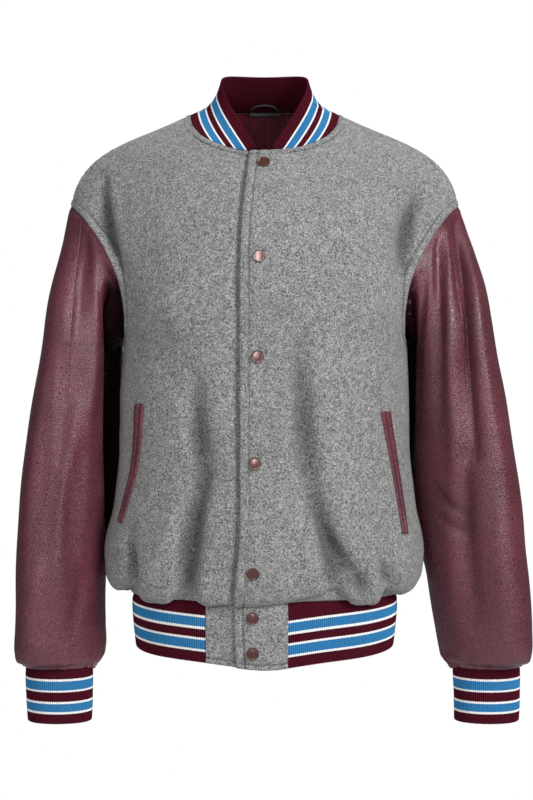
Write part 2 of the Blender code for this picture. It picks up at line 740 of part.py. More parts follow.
def build_sleeves(materials, collection):
    """Each sleeve in an upper and an under panel, joined by a front and a back seam."""
    ends = {}
    for side in ("left", "right"):
        outer, inner, turns = sleeve_walls(side)
        if side == "right":
            outer, inner = mirrored(outer), mirrored(inner)
        front = seam_column()
        behind = int(np.argmin(np.abs(turns - math.radians(BACK_SEAM_TURN))))
        count = len(turns)
        under = np.arange(front, behind + 1)
        upper = np.arange(behind, front + count + 1) % count
        for name, pick in (("under", under), ("upper", upper)):
            pair = tuck_in(outer[pick], inner[pick], ("left", "right"))
            sheet_object(f"sleeve_{side}_{name}", [pair], materials["leather"], collection)
        ends[side] = outer[:, -1]
    return ends


def build_cuffs(ends, materials, collection):
    knit = materials["knit"]
    for side in ("left", "right"):
        columns = 2 * CUFF_RIBS
        shares = np.arange(columns) / columns
        seam = np.vstack([ends[side], ends[side][:1]])
        top = along(seam, shares)
        turns = shares * 2 * math.pi
        table = np.array(CUFF, float)
        rows = [top + np.array([0.0, 0.0, -SEAM_GAP])]
        for row in table[1:]:
            ring = cuff_ring(side, row, turns)
            rows.append(mirrored(ring) if side == "right" else ring)
        outer = np.stack(rows, 1)
        centre = np.array([CUFF_CENTRE[side][0] * (1 if side == "left" else -1), CUFF_CENTRE[side][1], 0.0])
        normals = outer - centre
        normals[..., 2] = 0.0
        normals = unit(normals)
        normals[:, 0] = unit(normals[:, 0] + np.array([0.0, 0.0, -SEAM_DIP]))
        ribbed_object("cuff_" + side, outer, normals, CUFF_RIBS_PER_FACE, knit, collection, wrap=True)


def band_ring(z, t):
    """Points of the hem band's oval at height z; t runs from the front centre over the left side, 0 to 4."""
    sizes = (lookup(BAND, BAND_ROW, "z", name, np.array(float(z))) for name in BAND_ROW[1:])
    width, front, back = (float(size) for size in sizes)
    side = np.array([width, BAND_SIDE_Y, z])
    reach = np.array([BAND_ROUND * width, 0.0, 0.0])
    t = np.asarray(t, float) % 4
    from_front = np.where(t > 2, 4 - t, t)
    ring = np.empty(t.shape + (3,))
    for here, depth, share in ((from_front <= 1, -front, from_front), (from_front > 1, back, 2 - from_front)):
        middle = np.array([0.0, depth, z])
        bulge = side + np.array([0.0, BAND_SIDE_ROUND * depth, 0.0])
        ring[here] = cubic(middle, middle + reach, bulge, side, share[here])
    ring[t > 2, 0] *= -1
    down = (BAND[0][0] - z) / (BAND[0][0] - BAND[-1][0])
    ahead = np.clip(-ring[:, 1] / front, 0.0, 1.0)
    ring[:, 2] -= down * ahead * (BAND_SAG + TAB_SAG * np.exp(-(ring[:, 0] / TAB_SAG_REACH) ** 2))
    return ring


def band_t(x, z):
    """Where on the front of the oval the band stands at x, as a t between -1 and 1."""
    t = np.linspace(-0.6, 0.6, 241)
    return float(np.interp(x, band_ring(z, t)[:, 0], t))


def build_hem(fronts, backs, materials, collection):
    """Rib knit from tab to tab round the back, and the two wool tabs that lap in front."""
    heights = [row[0] for row in BAND]
    seam = np.vstack([fronts["left"][0][:, 0], backs[0][0][::-1, 0][1:], backs[1][0][1:, 0],
                      fronts["right"][0][::-1, 0][1:]])
    lengths = np.concatenate([[0.0], np.cumsum(np.linalg.norm(np.diff(seam, axis=0), axis=1))])
    left_x, right_x = (fronts[side][0][:, 0, 0] for side in ("left", "right"))
    start = float(np.interp(TAB_LEFT_END + SEAM_GAP, left_x, lengths[:PANEL_COLUMNS]))
    end = float(np.interp(SEAM_GAP - TAB_RIGHT_END, -right_x, lengths[-PANEL_COLUMNS:][::-1]))
    columns = 2 * BAND_RIBS + 1
    shares = (start + (end - start) * np.linspace(0, 1, columns)) / lengths[-1]
    top = along(seam, shares)
    dense = np.linspace(0, 4, 801)
    rows = [top - np.array([0.0, 0.0, SEAM_GAP])]
    for z in heights[1:]:
        ring = band_ring(z, dense)
        ring[-1] = ring[0]
        lengths_z = np.concatenate([[0.0], np.cumsum(np.linalg.norm(np.diff(ring, axis=0), axis=1))])
        first = np.interp(band_t(TAB_LEFT_END + SEAM_GAP, z), dense, lengths_z)
        last = np.interp(4 + band_t(TAB_RIGHT_END - SEAM_GAP, z), dense, lengths_z)
        rows.append(along(ring, np.linspace(first, last, columns) / lengths_z[-1]))
    outer = np.stack(rows, 1)
    normals = band_normals(outer)
    normals[:, 0] = waist_normal(outer[:, 0])
    ribbed_object("hem_rib", outer, normals, BAND_RIBS_PER_FACE, materials["knit"], collection)
    for side in ("left", "right"):
        left = side == "left"
        rows = []
        for z in heights:
            near, far = (float(lap_edge(z)), TAB_LEFT_END) if left else (TAB_RIGHT_END, UNDERLAP_REACH)
            rows.append(band_ring(z, np.linspace(band_t(near, z), band_t(far, z), TAB_COLUMNS)))
        outer = np.stack(rows, 1)
        normals = band_normals(outer)
        normals[:, 0] = waist_normal(outer[:, 0])
        outer = outer + normals * lap_rise(outer[..., 0], outer[..., 2], left)[..., None]
        outer[:, 0, 2] -= SEAM_GAP / 2
        inner = outer - normals * WOOL
        sheet_object("hem_tab_" + side, [(outer, inner)], materials["wool"], collection)


def collar_seam(fronts, backs):
    """Neck seam, from the right front's end round the back to the left front's end."""
    neck_from = V_UPPER.index(V_NECK) + len(V_LOWER)
    left = fronts["left"][0][0, neck_from:]
    right = fronts["right"][0][0, neck_from:]
    back_left = backs[0][0][0, neck_from:]
    back_right = backs[1][0][0, neck_from:]
    return np.vstack([right[1:], back_right[::-1][1:], back_left[1:], left[::-1][1:-1]])


def build_collar(fronts, backs, materials, collection):
    """Rib knit collar that leans in towards the neck, wide behind and narrow at its two front ends."""
    seam = collar_seam(fronts, backs)
    dense = along(seam, np.linspace(0, 1, 401))
    ends = [int(np.argmin(np.abs(dense[:150, 0] + COLLAR_END_X))),
            len(dense) - 1 - int(np.argmin(np.abs(dense[::-1][:150, 0] - COLLAR_END_X)))]
    seam = dense[ends[0]:ends[1] + 1]
    columns = 2 * COLLAR_RIBS + 1
    foot = along(seam, np.linspace(0, 1, columns))
    front, side, back = (np.array(place) for place in (COLLAR_TOP_FRONT, COLLAR_TOP_SIDE, COLLAR_TOP_BACK))
    # free edge: nearly straight from the front end to the side of the neck, then round the back
    steps = np.linspace(0, 1, 60)
    rise = cubic(front, front + COLLAR_FRONT_HANDLE, side + COLLAR_SIDE_HANDLES[0], side, steps)
    round_back = cubic(side, side + COLLAR_SIDE_HANDLES[1], back + COLLAR_BACK_HANDLE, back, steps)
    half = np.vstack([rise, round_back[1:]])
    edge = np.vstack([mirrored(half), half[::-1][1:]])
    free = along(edge, np.linspace(0, 1, columns))
    normals_foot = neck_normal(foot)
    lean = unit(free - foot)
    turning = unit(np.gradient(foot, axis=0))
    normals_free = unit(np.cross(turning, lean))
    if np.sum(normals_free * normals_foot) < 0:
        normals_free = -normals_free
    shares = np.linspace(0, 1, COLLAR_HEIGHT_STEPS + 1)
    rows = []
    normals = []
    width = np.linalg.norm(free - foot, axis=1, keepdims=True)
    for share in shares:
        hollow = COLLAR_HOLLOW * np.clip(width / COLLAR_WIDE, 0, 1) * math.sin(math.pi * share)
        normal = unit(normals_foot * (1 - share) + normals_free * share)
        rows.append(foot + (free - foot) * share - normals_free * hollow)
        normals.append(normal)
    outer = np.stack(rows, 1)
    normals = np.stack(normals, 1)
    off_seam = unit(lean - turning * np.sum(lean * turning, axis=1, keepdims=True))
    outer[:, 0] += off_seam * SEAM_GAP
    ribbed_object("collar", outer, normals, COLLAR_RIBS_PER_FACE, materials["knit"], collection)


def on_panel(pair, x, z, lift):
    """Point and normal over a panel's facets at a place seen from the front, moved out by lift."""
    grid, inner = pair
    corner = grid[:-1, :-1]
    across = (grid[1:, :-1] - corner)[..., [0, 2]]
    up = (grid[:-1, 1:] - corner)[..., [0, 2]]
    off = np.array([x, z]) - corner[..., [0, 2]]
    area = across[..., 0] * up[..., 1] - across[..., 1] * up[..., 0]
    area = np.where(np.abs(area) < 1e-3, 1e9, area)
    s = (off[..., 0] * up[..., 1] - off[..., 1] * up[..., 0]) / area
    t = (across[..., 0] * off[..., 1] - across[..., 1] * off[..., 0]) / area
    miss = np.maximum.reduce([-s, s - 1, -t, t - 1, np.zeros_like(s)]) + (np.abs(area) > 1e8) * 99.0
    i, k = np.unravel_index(np.argmin(miss), miss.shape)
    s = min(max(s[i, k], 0.0), 1.0)
    t = min(max(t[i, k], 0.0), 1.0)
    weights = ((1 - s) * (1 - t), s * (1 - t), s * t, (1 - s) * t)
    spots = ((i, k), (i + 1, k), (i + 1, k + 1), (i, k + 1))
    point = sum(w * grid[spot] for w, spot in zip(weights, spots))
    normal = unit(sum(w * unit(grid[spot] - inner[spot]) for w, spot in zip(weights, spots)))
    return point + normal * lift, normal


def build_welts(fronts, materials, collection):
    """Two narrow leather strips along each slanting pocket opening."""
    for side, table in POCKETS.items():
        sign = 1 if side == "left" else -1
        heights = np.linspace(table[-1][0], table[0][0], WELT_STEPS)
        places = lookup(table, POCKET_ROW, "z", "x", heights)
        for edge, near in (("front", -(WELT_SPLIT + WELT_WIDTH)), ("side", WELT_SPLIT)):
            outer = np.empty((3, WELT_STEPS, 3))
            inner = np.empty((3, WELT_STEPS, 3))
            for i, across in enumerate(np.linspace(near, near + WELT_WIDTH, 3)):
                for k in range(WELT_STEPS):
                    spread = 1.0 if 0 < k < WELT_STEPS - 1 else WELT_END
                    middle = near + WELT_WIDTH / 2
                    x = places[k] + (middle + (across - middle) * spread) * WELT_TURN
                    point, normal = on_panel(fronts[side], sign * x, heights[k], ON_TOP)
                    outer[i, k] = point + normal * WELT_THICK
                    inner[i, k] = point
            sheet_object(f"pocket_{side}_welt_{edge}", [(outer, inner)], materials["leather"], collection)


def build_snaps(fronts, materials, collection):
    """Seven domed caps down the lap, turned about their own axes."""
    for number, z in enumerate(SNAP_HEIGHTS, 1):
        x = float(lookup(LAP, LAP_ROW, "z", "snap_x", np.array(float(z))))
        if z > BAND[0][0]:
            point, normal = on_panel(fronts["left"], x, z, ON_TOP)
        else:
            base = band_ring(z, np.array([band_t(x, z)]))[0]
            normal = band_normals(base)
            point = base + normal * (LAP_RISE + ON_TOP)
        sideways = unit(np.cross([0.0, 0.0, 1.0], normal))
        upwards = np.cross(normal, sideways)
        sides = SNAP_SIDES
        turns = np.linspace(0, 2 * math.pi, sides, endpoint=False)
        ring = np.cos(turns)[:, None] * sideways + np.sin(turns)[:, None] * upwards
        vertices = [point]
        for radius, height in SNAP_PROFILE:
            vertices += list(point + normal * height * SNAP_HEIGHT + ring * radius * SNAP_RADIUS)
        vertices.append(point + normal * SNAP_HEIGHT)
        faces = []
        top = len(vertices) - 1
        for j in range(sides):
            n = (j + 1) % sides
            faces.append((0, 1 + n, 1 + j))
            for k in range(len(SNAP_PROFILE) - 1):
                a = 1 + k * sides
                faces.append((a + j, a + n, a + sides + n, a + sides + j))
            a = 1 + (len(SNAP_PROFILE) - 1) * sides
            faces.append((a + j, a + n, top))
        new_object(f"snap_{number}", vertices, faces, materials["enamel"], collection)


def build_lining(backs, materials, collection):
    """Satin lining below the back neck, in soft upright folds."""
    outer = np.empty((LINING_COLUMNS, LINING_ROWS, 3))
    inner = np.empty_like(outer)
    for i, share in enumerate(np.linspace(-1, 1, LINING_COLUMNS)):
        x = share * LINING_HALF_WIDTH
        seam = neckline(np.array(math.degrees(math.acos(abs(x) / NECK_HALF_WIDTH))))
        pair = backs[0] if share >= 0 else backs[1]
        for k, down in enumerate(np.linspace(1, 0, LINING_ROWS)):
            z = seam[2] - LINING_TOP_GAP - down * (LINING_DROP + seam[2])
            open_share = LINING_FOLD_TOP + (1 - LINING_FOLD_TOP) * down
            wave = LINING_FOLD_DEPTH * (1 + math.sin(share * LINING_FOLDS * math.pi)) * open_share
            point, normal = on_panel(pair, x, z, 0.0)
            outer[i, k] = point - normal * (WOOL + LINING_CLEAR + wave)
            inner[i, k] = outer[i, k] - normal * SATIN
    sheet_object("back_lining", [(outer, inner)], materials["satin"], collection)


def build_neck_tape(materials, collection):
    """Tape over the back neck seam on the inside."""
    outer = np.empty((TAPE_COLUMNS, 2, 3))
    for i, x in enumerate(np.linspace(-TAPE_HALF_WIDTH, TAPE_HALF_WIDTH, TAPE_COLUMNS)):
        seam = neckline(np.array(90.0 - math.degrees(math.asin(x / NECK_HALF_WIDTH))))
        for k, height in enumerate((-TAPE_HEIGHT, 0.0)):
            outer[i, k] = seam + np.array([0.0, -TAPE_INSIDE, height - TAPE_BELOW])
    inner = outer - np.array([0.0, TAPE_THICK, 0.0])
    sheet_object("neck_tape", [(outer, inner)], materials["tape"], collection)


def build_loop(materials, collection):
    """Hanging loop: a short cord bowed up from the neck tape."""
    curve = bpy.data.curves.new("hanging_loop", "CURVE")
    curve.dimensions = "3D"
    curve.bevel_depth = LOOP_RADIUS * MM
    curve.bevel_resolution = 2
    curve.use_fill_caps = True
    spline = curve.splines.new("POLY")
    spline.points.add(LOOP_POINTS - 1)
    inside = TAPE_INSIDE + TAPE_THICK + LOOP_RADIUS + ON_TOP
    foot = neckline(np.array(90.0)) - np.array([0.0, inside, TAPE_BELOW])
    for point, turn in zip(spline.points, np.linspace(0, math.pi, LOOP_POINTS)):
        rise = math.sin(turn)**LOOP_BOW
        place = foot + np.array([-LOOP_HALF_WIDTH * math.cos(turn), -LOOP_LEAN * rise, LOOP_RISE * rise])
        point.co = (*(place * MM), 1.0)
    thing = bpy.data.objects.new("hanging_loop", curve)
    thing.data.materials.append(materials["tape"])
    collection.objects.link(thing)


def remove_all():
    for thing in list(bpy.data.objects):
        bpy.data.objects.remove(thing, do_unlink=True)


def main():
    remove_all()
    collection = bpy.data.collections.new("varsity_jacket")
    bpy.context.scene.collection.children.link(collection)
    materials = {name: make_material(name) for name in COLOURS}
    fronts, backs = build_body(materials, collection)
    ends = build_sleeves(materials, collection)
    build_cuffs(ends, materials, collection)
    build_hem(fronts, backs, materials, collection)
    build_collar(fronts, backs, materials, collection)
    build_welts(fronts, materials, collection)
    build_snaps(fronts, materials, collection)
    build_lining(backs, materials, collection)
    build_neck_tape(materials, collection)
    build_loop(materials, collection)


main()
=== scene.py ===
"""Varsity jacket: cloth surfaces, materials and studio on the jacket's frame.

Lengths in tables are in millimetres, on the wearer's left half; the right half mirrors them.
The wearer faces -Y and their left is +X. Every cloth surface is a grid of points worked out from its rows.
"""

import math
from collections import namedtuple

import bpy
import numpy as np
from bpy.props import FloatProperty, FloatVectorProperty, IntProperty, PointerProperty
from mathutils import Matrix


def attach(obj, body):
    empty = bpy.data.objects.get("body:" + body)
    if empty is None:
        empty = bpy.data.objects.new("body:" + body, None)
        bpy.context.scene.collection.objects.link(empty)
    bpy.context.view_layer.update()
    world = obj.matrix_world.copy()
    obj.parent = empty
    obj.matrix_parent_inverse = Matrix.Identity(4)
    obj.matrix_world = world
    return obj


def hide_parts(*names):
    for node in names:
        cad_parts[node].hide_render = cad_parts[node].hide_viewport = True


bl_info = {
    "name": "Varsity Jacket",
    "version": (1, 0, 0),
    "blender": (4, 5, 0),
    "location": "View3D > Sidebar > Jacket",
    "description": "Builds the cloth, trims, materials and studio of a varsity jacket",
    "category": "Object",
}

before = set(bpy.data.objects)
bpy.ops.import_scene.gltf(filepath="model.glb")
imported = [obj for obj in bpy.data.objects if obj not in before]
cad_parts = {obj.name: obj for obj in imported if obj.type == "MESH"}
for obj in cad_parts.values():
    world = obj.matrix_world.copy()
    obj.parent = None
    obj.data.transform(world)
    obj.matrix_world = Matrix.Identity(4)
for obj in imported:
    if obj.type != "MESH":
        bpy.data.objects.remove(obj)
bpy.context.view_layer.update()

MM = 0.001

# ---------------------------------------------------------------- form of the jacket

NECK_HALF_WIDTH = 95.0
NECK_CENTRE_Y = 5.0
NECK_FRONT_REACH = 85.0
NECK_FRONT_DROP = 57.0
NECK_BACK_REACH = 79.0
NECK_BACK_RISE = 16.0
NECK_LEAN_SIDE = 0.8
NECK_LEAN_FRONT = 0.25
NECK_LEAN_BACK = 0.6

# Torso rows from the waist seam up to the shoulder seam: each is a cubic from the centre line ("in") to the
# side seam or armhole ("out"), with its two handles. From V_NECK up, rows start at the neckline.
FRONT_ROWS = (
    (0.000, 0, -112, -602, 100, 0, 0, 166, 2, -602, 0, -66, 0),
    (0.012, 0, -120, -599, 110, 0, 0, 180, 2, -598, 0, -72, 0),
    (0.035, 0, -128, -588, 118, 0, 0, 193, 2, -584, 0, -80, 0),
    (0.075, 0, -133, -562, 122, 0, 0, 199, 2, -560, 0, -86, 0),
    (0.190, 0, -139, -490, 119, 0, 0, 190, 3, -490, 0, -92, 0),
    (0.320, 0, -143, -410, 117, 0, 0, 182, 4, -410, 0, -96, 0),
    (0.430, 0, -147, -340, 117, 0, 0, 181, 6, -340, 0, -100, 0),
    (0.520, 0, -150, -287, 117, 0, 0, 178, 10, -287, 0, -104, 0),
    (0.580, 0, -151, -248, 114, 0, 0, 174, -38, -277, -12, -66, 4),
    (0.640, 0, -148, -208, 110, 0, -2, 173, -66, -250, -26, -44, 10),
    (0.700, 0, -141, -168, 106, 0, -4, 179, -74, -215, -42, -36, 18),
    (0.760, 0, -127, -126, 100, 0, -3, 192, -67, -184, -56, -34, 28),
    (0.810, 0, -104, -88, 100, 0, 0, 206, -55, -160, -66, -37, 27),
    (0.860, 0, -80, -57, 100, 0, 0, 219, -42, -142, -66, -29, 39),
    (0.930, 0, 0, 0, 70, -6, -16, 232, -20, -127, -51, -11, 80),
    (1.000, 0, 0, 0, 79, 2, -137, 245, 4, -115, -20, 0, 113),
)
BACK_ROWS = (
    (0.000, 0, 114, -602, 100, 0, 0, 166, 2, -602, 0, 66, 0),
    (0.012, 0, 122, -599, 110, 0, 0, 180, 2, -598, 0, 72, 0),
    (0.035, 0, 131, -588, 118, 0, 0, 193, 2, -584, 0, 80, 0),
    (0.075, 0, 135, -562, 122, 0, 0, 199, 2, -560, 0, 86, 0),
    (0.190, 0, 135, -490, 119, 0, 0, 190, 3, -490, 0, 88, 0),
    (0.320, 0, 135, -410, 117, 0, 0, 182, 4, -410, 0, 92, 0),
    (0.430, 0, 139, -340, 117, 0, 0, 181, 6, -340, 0, 94, 0),
    (0.520, 0, 143, -287, 117, 0, 0, 178, 10, -287, 0, 90, 0),
    (0.580, 0, 145, -242, 116, 0, 0, 176, 52, -276, -10, 52, 4),
    (0.640, 0, 144, -196, 114, 0, -2, 178, 76, -246, -24, 40, 10),
    (0.700, 0, 139, -146, 110, 0, -4, 185, 84, -212, -40, 34, 18),
    (0.760, 0, 128, -94, 100, 0, -10, 195, 80, -181, -54, 32, 32),
    (0.810, 0, 109, -38, 78, 0, 0, 207, 70, -158, -64, 34, 40),
    (0.860, 0, 84, 16, 72, 0, 0, 219, 54, -141, -65, 40, 30),
    (0.930, 0, 0, 0, 98, 19, -51, 231, 34, -127, -52, 19, 57),
    (1.000, 0, 0, 0, 79, 2, -137, 245, 4, -115, -20, 0, 113),
)
V_NECK = 0.86
V_UNDERARM = 0.52
V_SEAM_FRONT = 0.905
V_SEAM_BACK = 0.60
BODY_WIDTH = 220.0
# Places inside the body, the hem and the armhole, from which their surfaces face away
BODY_MIDDLE = (0.0, 0.0, -350.0)
HEM_MIDDLE = (0.0, 0.0, -640.0)
ARMHOLE_MIDDLE = (150.0, 8.0, -215.0)
SEAM_DIP = -0.38  # how far the walls' normals point down at the waist and cuff seams
NO_STITCH = 50.0  # distance that stands for no stitch line near

LAP_ROW = ("z", "edge_x", "snap_x")
LAP = (
    (-690, -33, -14),
    (-600, -36, -14),
    (-530, -30, -13),
    (-420, -29, -11),
    (-300, -29, -8),
    (-150, -27, -5),
    (-57, -18, 0),
)
UNDERLAP_REACH = 12.0
LAP_RISE = 1.9
LAP_FADE = 42.0
LAP_CLEAR = 6.0
LAP_DIP = 6.0
LAP_DIP_WIDTH = 9.0
SNAP_HEIGHTS = (-74, -191, -309, -435, -566, -617, -651)

BAND_ROW = ("z", "half_width", "front", "back")
BAND = (
    (-602, 166, 112, 114),
    (-613, 166, 114, 116),
    (-640, 164, 113, 115),
    (-667, 161, 110, 112),
)
BAND_SIDE_Y = 2.0
BAND_SAG = 9.0
TAB_SAG = 8.0
TAB_SAG_REACH = 55.0
BAND_ROUND = 0.6
BAND_SIDE_ROUND = 0.58
TAB_LEFT_END = 28.0
TAB_RIGHT_END = -71.0

SLEEVE_ROW = ("z", "left_out", "right_out", "left_in", "right_in", "front", "back", "tilt", "seam")
SLEEVE = (
    (-262, 275, 267, 182.5, 182.5, -76, 82, 38, 82),
    (-338, 291, 281, 183.5, 183.5, -79, 80, 24, 86),
    (-400, 303, 292, 184.0, 184.0, -80, 77, 17, 88),
    (-470, 314, 301, 189.5, 189.5, -80, 72, 11, 89),
    (-540, 322, 306, 199.5, 199.5, -80, 64, 6, 90),
    (-600, 328, 308, 209.0, 202.5, -78, 54, 3, 91),
    (-645, 329, 309, 216.0, 201.5, -74, 47, 1, 91),
    (-672, 329, 309, 220.0, 201.5, -71, 43, 0, 91),
)
SLEEVE_SKEW = 0.45
SLEEVE_SQUARE = 2.25
# Crevice between sleeve and body: where the front starts to fall away, over what width, and how deep
CREVICE = {"left": (190.0, 10.0, 14.0), "right": (200.0, 9.0, 19.0)}
# Swell behind the arm: how far out, at what depth, and how wide
REAR_SWELL = 8.0
REAR_SWELL_Y = 42.0
REAR_SWELL_WIDTH = 20.0
# Heights between which the crevice, the rear swell and the painted shade beside the body hold, with the
# lengths over which each fades there
CREVICE_SPAN = (-190.0, 50.0, -575.0, 60.0)
REAR_SPAN = (-205.0, 45.0, -580.0, 60.0)
SHADE_SPAN = (-185.0, 60.0, -610.0, 60.0)
# Rings that bag over the cuff: height over its top, and share of the way in from the last row to its seam
BLOUSE = ((6, 0.16), (1.0, 0.55), (-3.2, 0.80))
CUFF_ROW = ("z", "width", "depth")
CUFF = (
    (-689, 41.5, 38.5),
    (-702, 42.0, 39.0),
    (-730, 41.0, 38.0),
    (-760, 39.5, 36.5),
)
CUFF_CENTRE = {"left": (278.0, -11.0), "right": (257.0, -11.0)}

COLLAR_END_X = 19.0
COLLAR_TOP_SIDE = (55.0, 6.0, 44.0)
COLLAR_TOP_BACK = (0.0, 42.0, 55.0)
COLLAR_TOP_FRONT = (9.5, -79.0, -52.5)
COLLAR_FRONT_HANDLE = (17.0, 28.9, 32.8)
COLLAR_SIDE_HANDLES = ((2.0, -30.0, -22.0), (-1.2, 18.0, 12.0))
COLLAR_BACK_HANDLE = (34.0, 0.0, 0.0)
COLLAR_HOLLOW = 6.0
COLLAR_WIDE = 60.0

POCKET_ROW = ("z", "x")
POCKETS = {
    "left": ((-376, 146.0), (-450, 159.5), (-518, 170.5)),
    "right": ((-367, 151.0), (-440, 157.5), (-505, 175.0)),
}
# Snap cap from its middle out: share of the radius, share of the height
SNAP_PROFILE = ((0.0, 0.93), (0.25, 0.925), (0.5, 0.905), (0.7, 0.87), (0.82, 0.835), (0.86, 0.86),
                (0.90, 0.93), (0.945, 0.95), (0.98, 0.86), (1.0, 0.66), (0.995, 0.42), (0.96, 0.2),
                (0.90, -0.5))
SNAP_POINTS = 48
SNAP_LIFT = 0.3
WELT_WIDTH = 8.6
WELT_SPLIT = 0.6
WELT_SHARE_LOW = 0.7
WELT_SHARE_HIGH = 1.15
WELT_TURN = 0.56
WELT_HEIGHT = 2.3
WELT_POINTS = 74
WELT_THREAD = 0.22
WELT_STITCH = 1.35  # distance of a welt's stitching from its middle
BAND_SAMPLES = 1601
KNIT_SEAM = 0.4  # distance that the knit keeps from its seams
DOWN = np.array([0.0, 0.0, -1.0])

# Creases: start and end seen from the front or back, half width, depth (ridges below zero) and lean, which
# makes one flank steeper. "bow" bends the line sideways in its middle.
FOLD_ROW = ("x0", "z0", "x1", "z1", "width", "depth", "lean", "bow")
FOLDS = {
    "front_left": (
        (194, -100, 172, -208, 10, 15.0, 0.25, 5),
        (42, -290, 62, -490, 15, 12.0, 0.2, 3),
        (62, -480, 86, -592, 14, 15.0, -0.2, -3),
        (74, -516, 124, -590, 9, 11.0, 0.2, 0),
        (140, -550, 158, -594, 7, 10.0, 0.0, 0),
        (118, -560, 122, -594, 9, 6.0, 0.2, 0),
        (150, -80, 176, -150, 16, 2.4, 0.0, 5),
        (120, -250, 104, -330, 20, 2.1, 0.0, 5),
        (60, -130, 110, -210, 24, 1.8, 0.0, 6),
        (92, -520, 100, -580, 12, -3.3, 0.0, 0),
        (34, -520, 40, -590, 10, 2.7, 0.0, 2),
    ),
    "front_right": (
        (200, -88, 178, -200, 10, 16.0, 0.25, 6),
        (84, -340, 72, -462, 14, 13.0, -0.2, 3),
        (72, -455, 93, -594, 14, 17.0, 0.2, 3),
        (90, -545, 98, -598, 8, 5.0, 0.0, 0),
        (165, -522, 160, -594, 8, 12.0, 0.0, 0),
        (122, -562, 128, -594, 9, 4.5, 0.0, 0),
        (150, -80, 182, -150, 18, 2.4, 0.0, 5),
        (130, -240, 118, -330, 20, 2.4, 0.0, 5),
        (60, -150, 105, -230, 24, 1.8, 0.0, 6),
        (112, -480, 124, -580, 14, -3.8, 0.0, 2),
        (50, -500, 56, -590, 10, 3.0, 0.0, -2),
    ),
    "back": (
        (70, -420, 84, -592, 17, 9.0, 0.2, 4),
        (-92, -440, -76, -592, 16, 9.0, -0.2, 4),
        (10, -500, 4, -594, 13, 6.0, 0.0, 3),
        (140, -540, 150, -594, 10, 7.5, 0.0, 0),
        (-136, -530, -148, -594, 11, 7.5, 0.0, 0),
        (44, -520, 50, -594, 9, 4.5, 0.2, 0),
        (-40, -515, -36, -594, 10, 4.5, -0.2, 0),
        (112, -500, 118, -594, 9, 4.5, 0.0, 2),
        (-112, -505, -114, -594, 9, 4.5, 0.0, 2),
        (184, -110, 172, -230, 9, 7.5, 0.2, 3),
        (-186, -104, -172, -220, 9, 7.5, -0.2, 3),
        (60, -120, 140, -190, 26, 2.4, 0.0, 6),
        (-50, -110, -130, -200, 26, 2.4, 0.0, 6),
        (0, -200, 20, -380, 30, 2.4, 0.0, 8),
    ),
}
# Long soft troughs and ridges of the sleeves, seen from the front (facing -1) or from behind (facing 1)
SLEEVE_FOLD_ROW = ("facing",) + FOLD_ROW
SLEEVE_FOLDS = {
    "left": (
        (-1, 213, -140, 215, -390, 5.5, 4.5, 0.0, 0),
        (-1, 242, -130, 254, -430, 9, 15.0, 0.25, 3),
        (-1, 202, -160, 203, -430, 7, -5.5, 0.0, 0),
        (-1, 226, -150, 234, -480, 8, -6.0, 0.0, 2),
        (-1, 250, -170, 288, -460, 11, -4.5, 0.0, 3),
        (-1, 242, -430, 254, -630, 13, 10.0, 0.0, 4),
        (-1, 208, -462, 236, -500, 7, 5.1, 0.2, 3),
        (-1, 212, -500, 240, -524, 7, 4.1, -0.2, 3),
        (-1, 286, -480, 300, -650, 14, -5.0, 0.0, 4),
        (1, 240, -150, 250, -380, 11, 6.0, 0.2, 4),
        (1, 212, -190, 220, -420, 9, 4.1, 0.0, 2),
        (1, 270, -230, 292, -440, 12, 4.1, 0.0, 3),
        (1, 226, -470, 262, -520, 10, 6.8, 0.2, 5),
        (1, 236, -510, 276, -550, 10, 5.8, -0.2, 5),
        (1, 270, -560, 284, -660, 10, 4.1, 0.0, 3),
    ),
    "right": (
        (-1, 221, -150, 236, -360, 7, 4.0, 0.0, 2),
        (-1, 207, -160, 220, -410, 8, -6.5, 0.0, 3),
        (-1, 228, -370, 256, -600, 10, -6.5, 0.2, -4),
        (-1, 244, -300, 250, -430, 9, 4.0, 0.0, 2),
        (-1, 204, -230, 216, -400, 7, -2.7, 0.0, 2),
        (-1, 216, -400, 222, -560, 8, -2.7, 0.0, 2),
        (-1, 262, -330, 284, -560, 12, 3.4, 0.0, 4),
        (-1, 238, -420, 246, -540, 9, 2.7, 0.0, 3),
        (-1, 276, -560, 290, -650, 12, -3.1, 0.0, 3),
        (-1, 226, -580, 238, -655, 9, 3.4, 0.0, 2),
        (1, 236, -150, 246, -380, 11, 6.0, 0.2, 4),
        (1, 210, -190, 216, -420, 9, 4.1, 0.0, 2),
        (1, 262, -230, 280, -440, 12, 4.1, 0.0, 3),
        (1, 222, -480, 256, -525, 10, 6.8, 0.2, 5),
        (1, 232, -520, 268, -560, 10, 5.8, -0.2, 5),
        (1, 262, -560, 272, -660, 10, 4.1, 0.0, 3),
    ),
}
